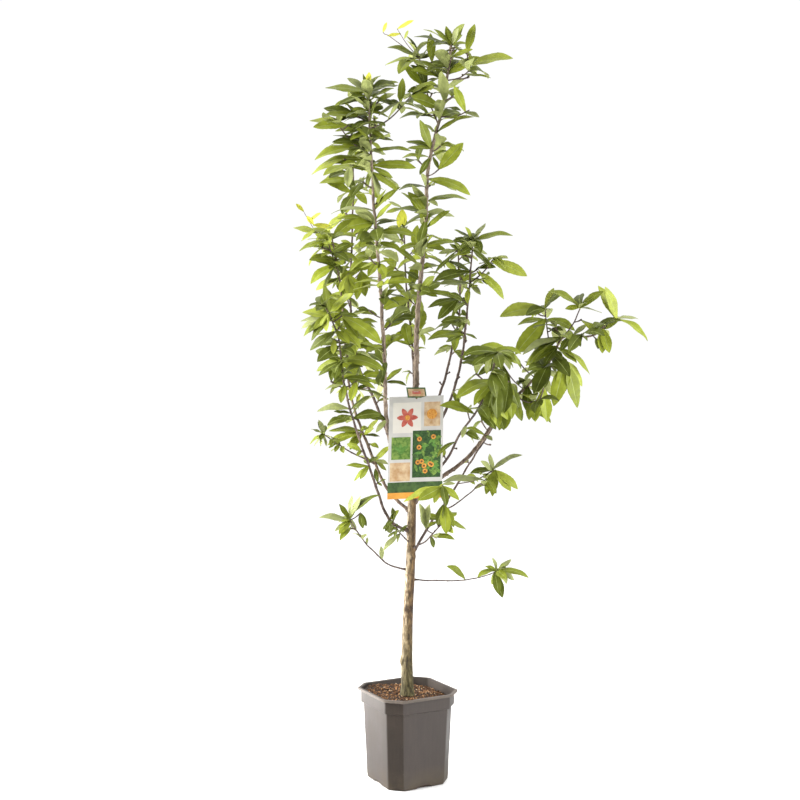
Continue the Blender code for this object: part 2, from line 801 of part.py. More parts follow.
class Mass:
    """One mass of foliage while it grows: its stems, twigs and leaves before the union."""

    def __init__(self, shoot, stem, stem_radii, side_routes, space, parts, rng):
        self.shoot = shoot
        self.rule = shoot.foliage
        self.space = space
        self.rng = rng
        self.leaf_count = 0
        self.group = 0
        self.grown = []
        self.bodies = bpy.data.collections.new(shoot.name + "_bodies")
        bpy.context.scene.collection.children.link(self.bodies)
        self.node = tube(shoot.name + "_foliage", stem, stem_radii, 0, parts)
        self.stem = stem
        for route in side_routes:
            radii = taper(route, SIDE_STEM_RADIUS, SPUR_FOOT_RADIUS)
            tube("side_stem", route, radii, 0, self.bodies)

    def try_body(self, thing):
        """Keep a twig or leaf only if it touches nothing but its own spur and rosette."""
        tree = mesh_tree(thing.data)
        crossing = any(
            tree.overlap(other) for group, other in self.grown if group != self.group)
        if not crossing and self.space.clear(tree):
            self.grown.append((self.group, tree))
            return True
        mesh = thing.data
        bpy.data.objects.remove(thing, do_unlink=True)
        bpy.data.meshes.remove(mesh)
        return False

    def leaf(self, root, along, length, droop):
        """One leaf from a root inside its twig."""
        across = along.cross(Vector((0, 0, 1)))
        if across.length < 0.2:
            across = perpendicular(along, self.rng.uniform(0, 2 * math.pi))
        across = Matrix.Rotation(self.rng.uniform(-LEAF_ROLL, LEAF_ROLL), 3, along) @ across.normalized()
        points = leaf_points(root, along, across, length, droop)
        if not self.space.holds([points["tip"], points["left"], points["right"], points["ridge"]]):
            return False
        if self.try_body(leaf_body(points, "leaf", self.bodies)):
            self.leaf_count += 1
            return True
        return False

    def rosette(self, knob, along, count):
        """Leaves spread round a spur's knob, as medlar leaves stand."""
        rule, rng = self.rule, self.rng
        turn = rng.uniform(0, 2 * math.pi)
        for index in range(count):
            for attempt in range(4):
                spread = math.radians(rng.uniform(38, 78))
                side = perpendicular(along, turn + rng.uniform(-0.4, 0.4))
                way = along * math.cos(spread) + side * math.sin(spread)
                way.z -= rule.droop * rng.uniform(0.2, 1.0)
                way.normalize()
                root = knob - along * LEAF_ROOT_DEPTH * (0.6 + 0.2 * index)
                length = rule.leaf * rng.uniform(0.75, 1.15)
                if self.leaf(root, way, length, rule.droop):
                    break
                turn += 0.7
            turn += GOLDEN_ANGLE

    def spur(self, foot, along, angle, length, count):
        """A short side twig with a rosette on its knob."""
        self.group += 1
        side = perpendicular(along, angle)
        way = (side * 0.85 + along * 0.35 + Vector((0, 0, 0.25 - 0.3 * self.rule.droop))).normalized()
        tip = foot + way * length
        if not self.space.holds([tip]):
            return False
        twig = twig_body(foot, tip, SPUR_FOOT_RADIUS, SPUR_KNOB_RADIUS, "spur", self.bodies)
        if not self.try_body(twig):
            return False
        self.rosette(tip, way, count)
        return True

    def clothe(self, route, step, count):
        """Spurs round a stem by the golden angle, and a rosette at its tip."""
        length = route_length(route)
        distance = step * 0.9
        angle = self.rng.uniform(0, 2 * math.pi)
        while distance < length - step * 0.4:
            foot, along = point_along(route, distance)
            size = self.rule.spur * self.rng.uniform(0.6, 1.5)
            for attempt in range(3):
                if self.spur(foot, along, angle, size, count):
                    break
                angle += 0.9
            angle += GOLDEN_ANGLE
            distance += step * self.rng.uniform(0.8, 1.2)
        self.group += 1
        tip, along = point_along(route, length)
        knob = tip + along * SPUR_KNOB_RADIUS
        twig_body(tip - along * 0.010, knob, SPUR_FOOT_RADIUS, SPUR_KNOB_RADIUS, "knob", self.bodies)
        self.rosette(knob, along, count + 1)

    def fruit(self, share):
        """A small dry fruit on a short stalk, beside the stem."""
        place, along = point_along(self.stem, route_length(self.stem) * share)
        way = (perpendicular(along, 1.2) + Vector((0, -0.6, 0.2))).normalized()
        middle = place + way * 2.6 * FRUIT_RADIUS
        twig_body(place, middle, SPUR_FOOT_RADIUS, SPUR_FOOT_RADIUS, "stalk", self.bodies)
        bm = bmesh.new()
        bmesh.ops.create_icosphere(bm, subdivisions=1, radius=FRUIT_RADIUS)
        bmesh.ops.translate(bm, vec=middle, verts=bm.verts[:])
        add_object("fruit", mesh_from(bm, "fruit"), self.bodies)

    def fuse(self):
        """Join all bodies into the one node."""
        union_with(self.node, self.bodies)
        self.node.data.materials.clear()
        self.node.data.materials.append(make_material(self.node.name + "_finish", LEAF))
        return self.node


def side_route(stem, foot_z, tip):
    """A side stem that leaves its stem at a height and bends up to its tip."""
    foot = point_at_height(stem, foot_z)
    tip = on_tree(tip)
    bend = foot.lerp(tip, 0.5) - Vector((0, 0, 0.10 * (tip - foot).length))
    return smooth_route([foot, bend, tip], SIDE_STEM_STEP)


def build_masses(parts, limbs, sleeves, stems, others):
    """Every mass of foliage, each in its own space."""
    drafts = new_collection("clearance_drafts")
    obstacles = [mesh_tree(thing.data) for thing in others]
    for points, radii in sleeves.values():
        grown = tube("draft", points, [radius + LIMB_MARGIN for radius in radii], 1, drafts)
        obstacles.append(mesh_tree(grown.data))
        bpy.data.objects.remove(grown, do_unlink=True)
    bpy.data.collections.remove(drafts)
    sides = {shoot.name: [] for shoot in SHOOTS}
    for name, foot_z, tip in SIDE_STEMS:
        sides[name].append(side_route(stems[name][0], foot_z, tip))
    masses = []
    for number, shoot in enumerate(SHOOTS):
        own = [stems[shoot.name][0], *sides[shoot.name]]
        foreign = [route for name, (route, _) in stems.items() if name != shoot.name]
        foreign += [route for name, group in sides.items() if name != shoot.name for route in group]
        space = Space(own, foreign, shoot.foliage.reach, shoot.foliage.top, obstacles)
        rng = random.Random(SEED + number)
        stem, radii = stems[shoot.name]
        mass = Mass(shoot, stem, radii, sides[shoot.name], space, parts, rng)
        mass.clothe(stem, shoot.foliage.step, shoot.foliage.leaves)
        for route in sides[shoot.name]:
            mass.clothe(route, SIDE_STEM_STEP, shoot.foliage.leaves)
        if shoot.foliage.fruit_at > 0:
            mass.fruit(shoot.foliage.fruit_at)
        node = mass.fuse()
        obstacles.append(mesh_tree(node.data))
        masses.append((shoot.name, mass.leaf_count, node))
    return masses


def main():
    """Build the whole plant with its pot."""
    clear_scene()
    parts = new_collection(NAME)
    cutters = new_collection("cutters")
    pot = build_pot(parts, cutters)
    soil = build_soil(parts)
    limbs, sleeves, stems = build_limbs(parts, cutters)
    label = build_label(parts, cutters, sleeves["leader"])
    return build_masses(parts, limbs, sleeves, stems, (pot, soil, label))


main()
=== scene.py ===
"""Looks of the potted medlar tree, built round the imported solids.

Metres, +Z up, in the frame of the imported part. Bark with relief replaces the trunk and boughs.
Twigs and leaves grow again on the boughs' own routes by the source's rule, carried to finer
growth, and replace the masses of foliage. The pot, the soil and the hang label are replaced by
finer meshes of the same size.
"""

import math
import random
from dataclasses import dataclass, field

import bmesh
import bpy
import numpy as np
from mathutils import Matrix, Vector, noise
from mathutils.bvhtree import BVHTree
from mathutils.kdtree import KDTree


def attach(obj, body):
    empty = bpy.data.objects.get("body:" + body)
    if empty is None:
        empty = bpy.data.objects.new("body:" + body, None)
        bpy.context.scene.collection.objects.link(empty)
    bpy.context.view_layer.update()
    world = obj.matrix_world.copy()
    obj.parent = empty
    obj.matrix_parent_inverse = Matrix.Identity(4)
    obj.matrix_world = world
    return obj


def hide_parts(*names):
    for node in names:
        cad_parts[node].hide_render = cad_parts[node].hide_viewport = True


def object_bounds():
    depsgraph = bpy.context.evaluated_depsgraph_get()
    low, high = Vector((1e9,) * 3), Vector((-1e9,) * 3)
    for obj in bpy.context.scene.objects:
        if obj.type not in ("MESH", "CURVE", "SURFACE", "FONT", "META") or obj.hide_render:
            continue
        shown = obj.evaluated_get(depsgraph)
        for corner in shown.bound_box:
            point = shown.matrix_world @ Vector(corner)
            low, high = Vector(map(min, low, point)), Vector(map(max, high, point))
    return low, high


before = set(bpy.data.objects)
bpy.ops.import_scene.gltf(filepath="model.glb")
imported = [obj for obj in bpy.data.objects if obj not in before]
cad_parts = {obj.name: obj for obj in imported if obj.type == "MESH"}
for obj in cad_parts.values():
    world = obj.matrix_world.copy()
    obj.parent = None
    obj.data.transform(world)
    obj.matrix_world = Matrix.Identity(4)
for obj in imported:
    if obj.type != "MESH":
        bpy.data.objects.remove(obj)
CAD_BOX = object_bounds()
BODY = "root"
SEED = 23

# Camera: level, at the height and distance that give the pot and crown their places in the view
CAMERA_PLACE = (-0.0188, -2.800, 0.9525)
CAMERA_LENS = 50.0
SENSOR_WIDTH = 36.0

# Pot
POT_HEIGHT = 0.226
POT_TURN = math.radians(28.7)
LIP_ACROSS = 0.212
BAND_ACROSS = 0.198
WAIST_ACROSS = 0.187
FOOT_ACROSS = 0.171
LIP_CUT = 0.036
FOOT_CUT = 0.030
LIP_HEIGHT = 0.006
BAND_HEIGHT = 0.036
BAND_SLOPE = 0.002
FOOT_ROUND = 0.005
POT_WALL = 0.0022
POT_FLOOR = 0.003
NOTCH_WIDTH = 0.044
NOTCH_HEIGHT = 0.0075
NOTCH_DEPTH = 0.050
CORNER_ROUND = 0.0022

# Soil
SOIL_EDGE_Z = 0.2065
SOIL_BANK = 0.0130
GROUND_Z = 0.210
CHIP_COUNT = 2400
CHIP_SIZE = (0.0026, 0.0076)

# Tree places, as in the source
TREE_OFFSET = Vector((0.003, 0.0, 0.0))
GAP = 0.0003
STUB_LENGTH = 0.010
TRUNK_PLACES = (
    (-0.003, 0.0, GROUND_Z + GAP),
    (-0.004, 0.0, 0.295),
    (-0.002, 0.0, 0.408),
    (0.005, 0.0, 0.554),
    (0.009, 0.0, 0.741),
    (0.012, 0.0, 0.859),
    (0.0155, 0.0, 0.930),
)
TRUNK_TAPER = ((0.0, 0.0190), (0.022, 0.0155), (0.10, 0.0138), (0.48, 0.0108), (0.72, 0.0066))

# Growth rule, as in the source
GOLDEN_ANGLE = math.radians(137.5)
CROWN_TOP = 1.917
SPUR_FOOT_RADIUS = 0.0015
SPUR_KNOB_RADIUS = 0.0027
SIDE_STEM_RADIUS = 0.0020
SPACE_MARGIN = 0.030

# Leaf blade
LEAF_ROWS = 16
LEAF_COLUMNS = (-1.0, -0.86, -0.45, -0.040, 0.040, 0.45, 0.86, 1.0)
LEAF_WIDTH_SHARE = 0.335
LEAF_CHEVRON = 0.10
LEAF_THICKNESS = 0.00045
LEAF_QUILT = 0.0080
LEAF_TOOTH = 0.028
PETIOLE_RADIUS = 0.0009
PROXY_ROWS = 4
PROXY_COLUMNS = (-0.8, 0.0, 0.8)

# Hang label
LABEL_WIDTH = 0.135
LABEL_HEIGHT = 0.252
LABEL_THICKNESS = 0.0008
LABEL_TOP = Vector((0.0195, -0.0290, 0.9620))
LABEL_LEAN = 0.030
LABEL_TILT = math.radians(1.2)
LABEL_SHEAR = 0.055
LABEL_CURL = 0.010
LABEL_COLUMNS = 54
LABEL_ROWS = 100
HEADER_WIDTH = 0.052
HEADER_HEIGHT = 0.026
COLLAR_RADIUS = 0.0095
COLLAR_HEIGHT = 0.014
COLLAR_Z = 0.973


@dataclass
class Foliage:
    """How one mass grows: node spacing, share of nodes with a spur, spur length, leaves a node,
    leaf length, droop, reach, top, where on the bough its first small leaves stand, how far its
    chance leaves keep to the front and back, and the weights of the tints."""

    step: float = 0.042
    spurs: float = 0.5
    spur: float = 0.030
    leaves: int = 6
    leaf: float = 0.088
    droop: float = 0.14
    reach: float = 0.155
    top: float = CROWN_TOP
    low: float = 0.75
    deep: float = 0.0
    tints: tuple = (3, 4, 3, 1)
    seed: int = 0


@dataclass
class Shoot:
    """A stem from its foot on a carrier to its tip: a bare bough, then the stem of a mass."""

    name: str
    carrier: str
    foot_z: float
    places: tuple
    foot_radius: float
    tip_radius: float
    bare: float
    region: str
    foliage: Foliage = field(default_factory=Foliage)


SHOOTS = (
    Shoot(
        "leader", "trunk", TRUNK_PLACES[-1][2],
        ((0.019, 0.000, 0.990), (0.021, 0.005, 1.137), (0.032, 0.010, 1.272), (0.044, 0.010, 1.408),
         (0.050, 0.005, 1.541), (0.089, -0.010, 1.708), (0.105, -0.030, 1.840)),
        0.0070, 0.0030, 0.24, "top",
        Foliage(step=0.044, spurs=0.35, leaf=0.092, droop=0.06, low=0.9, deep=0.50, tints=(5, 4, 2, 0)),
    ),
    Shoot(
        "left_inner", "trunk", 0.735,
        ((-0.039, -0.014, 0.825), (-0.056, -0.022, 0.915), (-0.061, -0.082, 1.074),
         (-0.071, -0.120, 1.254), (-0.085, -0.130, 1.433), (-0.099, -0.120, 1.700)),
        0.0056, 0.0026, 0.30, "top",
        Foliage(step=0.040, spurs=0.30, leaf=0.092, droop=0.08, top=1.735, low=0.9, deep=0.45,
                tints=(5, 4, 2, 0)),
    ),
    Shoot(
        "left_back", "left_inner", 0.865,
        ((-0.095, 0.020, 0.970), (-0.133, 0.070, 1.056), (-0.153, 0.120, 1.215),
         (-0.149, 0.140, 1.376), (-0.145, 0.150, 1.590)),
        0.0036, 0.0020, 0.15, "left", Foliage(step=0.038, spurs=0.5, leaf=0.086),
    ),
    Shoot(
        "left_low", "trunk", 0.622,
        ((-0.049, -0.020, 0.654), (-0.094, -0.050, 0.777), (-0.136, -0.090, 0.904),
         (-0.159, -0.120, 1.008), (-0.170, -0.140, 1.103), (-0.201, -0.150, 1.177)),
        0.0038, 0.0018, 0.52, "left",
        Foliage(step=0.034, spurs=0.6, leaf=0.072, low=0.5, tints=(6, 4, 1, 0)),
    ),
    Shoot(
        "left_outer", "trunk", 0.668,
        ((-0.053, 0.012, 0.726), (-0.099, 0.030, 0.825), (-0.145, 0.050, 0.953),
         (-0.161, 0.060, 1.081), (-0.174, 0.060, 1.236), (-0.196, 0.050, 1.368)),
        0.0042, 0.0018, 0.44, "left", Foliage(step=0.034, spurs=0.5, leaf=0.078, low=0.5),
    ),
    Shoot(
        "back", "trunk", 0.860,
        ((0.014, 0.050, 0.993), (0.008, 0.110, 1.122), (-0.006, 0.170, 1.272), (-0.011, 0.200, 1.423)),
        0.0036, 0.0018, 0.38, "left", Foliage(step=0.042, spurs=0.6, leaf=0.080),
    ),
    Shoot(
        "right_back", "trunk", 0.825,
        ((0.082, 0.050, 0.973), (0.109, 0.080, 1.069), (0.135, 0.110, 1.191), (0.131, 0.130, 1.348)),
        0.0040, 0.0018, 0.45, "right",
        Foliage(step=0.034, spurs=0.6, spur=0.020, leaf=0.058, tints=(5, 4, 1, 0)),
    ),
    Shoot(
        "right_front", "trunk", 0.785,
        ((0.091, -0.012, 0.922), (0.125, -0.030, 1.025), (0.142, -0.055, 1.150), (0.157, -0.080, 1.344)),
        0.0042, 0.0018, 0.47, "right",
        Foliage(step=0.034, spurs=0.6, spur=0.020, leaf=0.060, deep=0.4, tints=(6, 3, 1, 0)),
    ),
    Shoot(
        "right_inner", "trunk", 0.722,
        ((0.085, -0.024, 0.791), (0.129, -0.050, 0.872), (0.176, -0.080, 0.943), (0.215, -0.110, 1.069)),
        0.0036, 0.0017, 0.38, "right",
        Foliage(step=0.036, spurs=0.4, leaf=0.080, droop=0.90, tints=(6, 3, 1, 0)),
    ),
    Shoot(
        "right_long", "trunk", 0.692,
        ((0.078, 0.024, 0.751), (0.159, 0.040, 0.814), (0.248, 0.050, 0.930), (0.355, 0.050, 1.042),
         (0.397, 0.040, 1.114), (0.463, 0.020, 1.114), (0.497, 0.000, 1.142)),
        0.0058, 0.0022, 0.44, "arm",
        Foliage(step=0.036, spurs=0.5, leaf=0.092, droop=0.40, reach=0.175, low=1.0, deep=0.60),
    ),
    Shoot(
        "right_low", "trunk", 0.556,
        ((0.061, 0.030, 0.647), (0.104, 0.060, 0.702), (0.169, 0.100, 0.801), (0.212, 0.120, 0.863),
         (0.270, 0.150, 0.953)),
        0.0036, 0.0016, 0.68, "right",
        Foliage(step=0.034, spurs=0.5, leaf=0.085, droop=0.90, tints=(6, 3, 1, 0)),
    ),
    Shoot(
        "low_left", "trunk", 0.524,
        ((-0.049, -0.010, 0.539), (-0.107, -0.030, 0.596), (-0.146, -0.050, 0.655)),
        0.0022, 0.0014, 0.62, "low",
        Foliage(step=0.030, spurs=0.5, spur=0.012, leaf=0.052, low=1.0, deep=0.60),
    ),
    Shoot(
        "low_right", "trunk", 0.500,
        ((0.116, -0.010, 0.499), (0.178, -0.030, 0.511), (0.219, -0.040, 0.528)),
        0.0020, 0.0012, 0.66, "low",
        Foliage(step=0.034, spurs=0.3, spur=0.010, leaf=0.055, droop=0.45, low=1.0, deep=0.60),
    ),
    Shoot(
        "mid_right", "right_low", 0.664,
        ((0.127, 0.024, 0.693), (0.197, -0.012, 0.757)),
        0.0020, 0.0014, 0.62, "low",
        Foliage(step=0.030, spurs=0.4, spur=0.014, leaf=0.064, low=1.0, deep=0.60),
    ),
    Shoot(
        "mid_left", "left_outer", 0.790,
        ((-0.156, 0.020, 0.826), (-0.218, 0.000, 0.869)),
        0.0020, 0.0014, 0.55, "left",
        Foliage(step=0.024, spurs=0.4, spur=0.014, leaf=0.042, low=1.0, tints=(2, 4, 3, 0)),
    ),
    Shoot(
        "front_low", "trunk", 0.578,
        ((0.045, -0.045, 0.606), (0.090, -0.082, 0.662)),
        0.0022, 0.0014, 0.42, "low",
        Foliage(step=0.034, spurs=0.4, spur=0.014, leaf=0.052, low=1.0, deep=0.55),
    ),
    Shoot(
        "front_left", "trunk", 0.590,
        ((-0.022, -0.035, 0.622), (-0.040, -0.055, 0.655)),
        0.0018, 0.0013, 0.50, "low",
        Foliage(step=0.044, spurs=0.2, spur=0.008, leaf=0.036, low=1.0, tints=(5, 3, 1, 0)),
    ),
)

# Side stems inside a mass: the mass, the height where each leaves the stem, and its tip
SIDE_STEMS = (
    ("leader", 1.646, (0.027, 0.030, 1.823)),
    ("leader", 1.665, (0.150, -0.040, 1.672)),
    ("leader", 1.753, (0.150, -0.060, 1.765)),
    ("left_inner", 1.605, (0.006, -0.090, 1.695)),
    ("left_inner", 1.540, (-0.172, -0.135, 1.615)),
    ("left_outer", 1.300, (-0.207, 0.040, 1.362)),
    ("right_front", 1.240, (0.208, -0.090, 1.300)),
    ("right_long", 1.060, (0.354, 0.080, 1.190)),
    ("right_long", 1.111, (0.432, -0.010, 1.185)),
    ("right_long", 0.960, (0.330, -0.040, 0.955)),
)

# Leaf tints, from deep to fresh, then the yellow of the youngest leaves. They are partly the leaves' own colours and
# partly painted light: the tints are set brighter, and the fresh and light yellow-green ones stand in for light
# shining through the blades.
LEAF_TINTS = {
    "leaf_deep": (0.085, 0.106, 0.013),
    "leaf_mid": (0.168, 0.200, 0.021),
    "leaf_fresh_and_glow": (0.224, 0.262, 0.027),
    "leaf_light_and_glow": (0.262, 0.298, 0.042),
    "leaf_young": (0.520, 0.520, 0.060),
    "leaf_pale": (0.238, 0.264, 0.104),
}
UNDERSIDE = (0.256, 0.284, 0.100)
RIB = (0.285, 0.330, 0.105)


@dataclass
class Spray:
    """A spray that shows clearly: its carrier, its knob on the upright plane through the pot's
    middle as the camera sees it, its depth (None on the stem itself), and its blades. A blade is
    its tip on that plane, how far the tip lies behind the knob, how much the blade faces the
    viewer, how far it arches, and its tint."""

    carrier: str
    knob: tuple
    depth: float
    blades: tuple
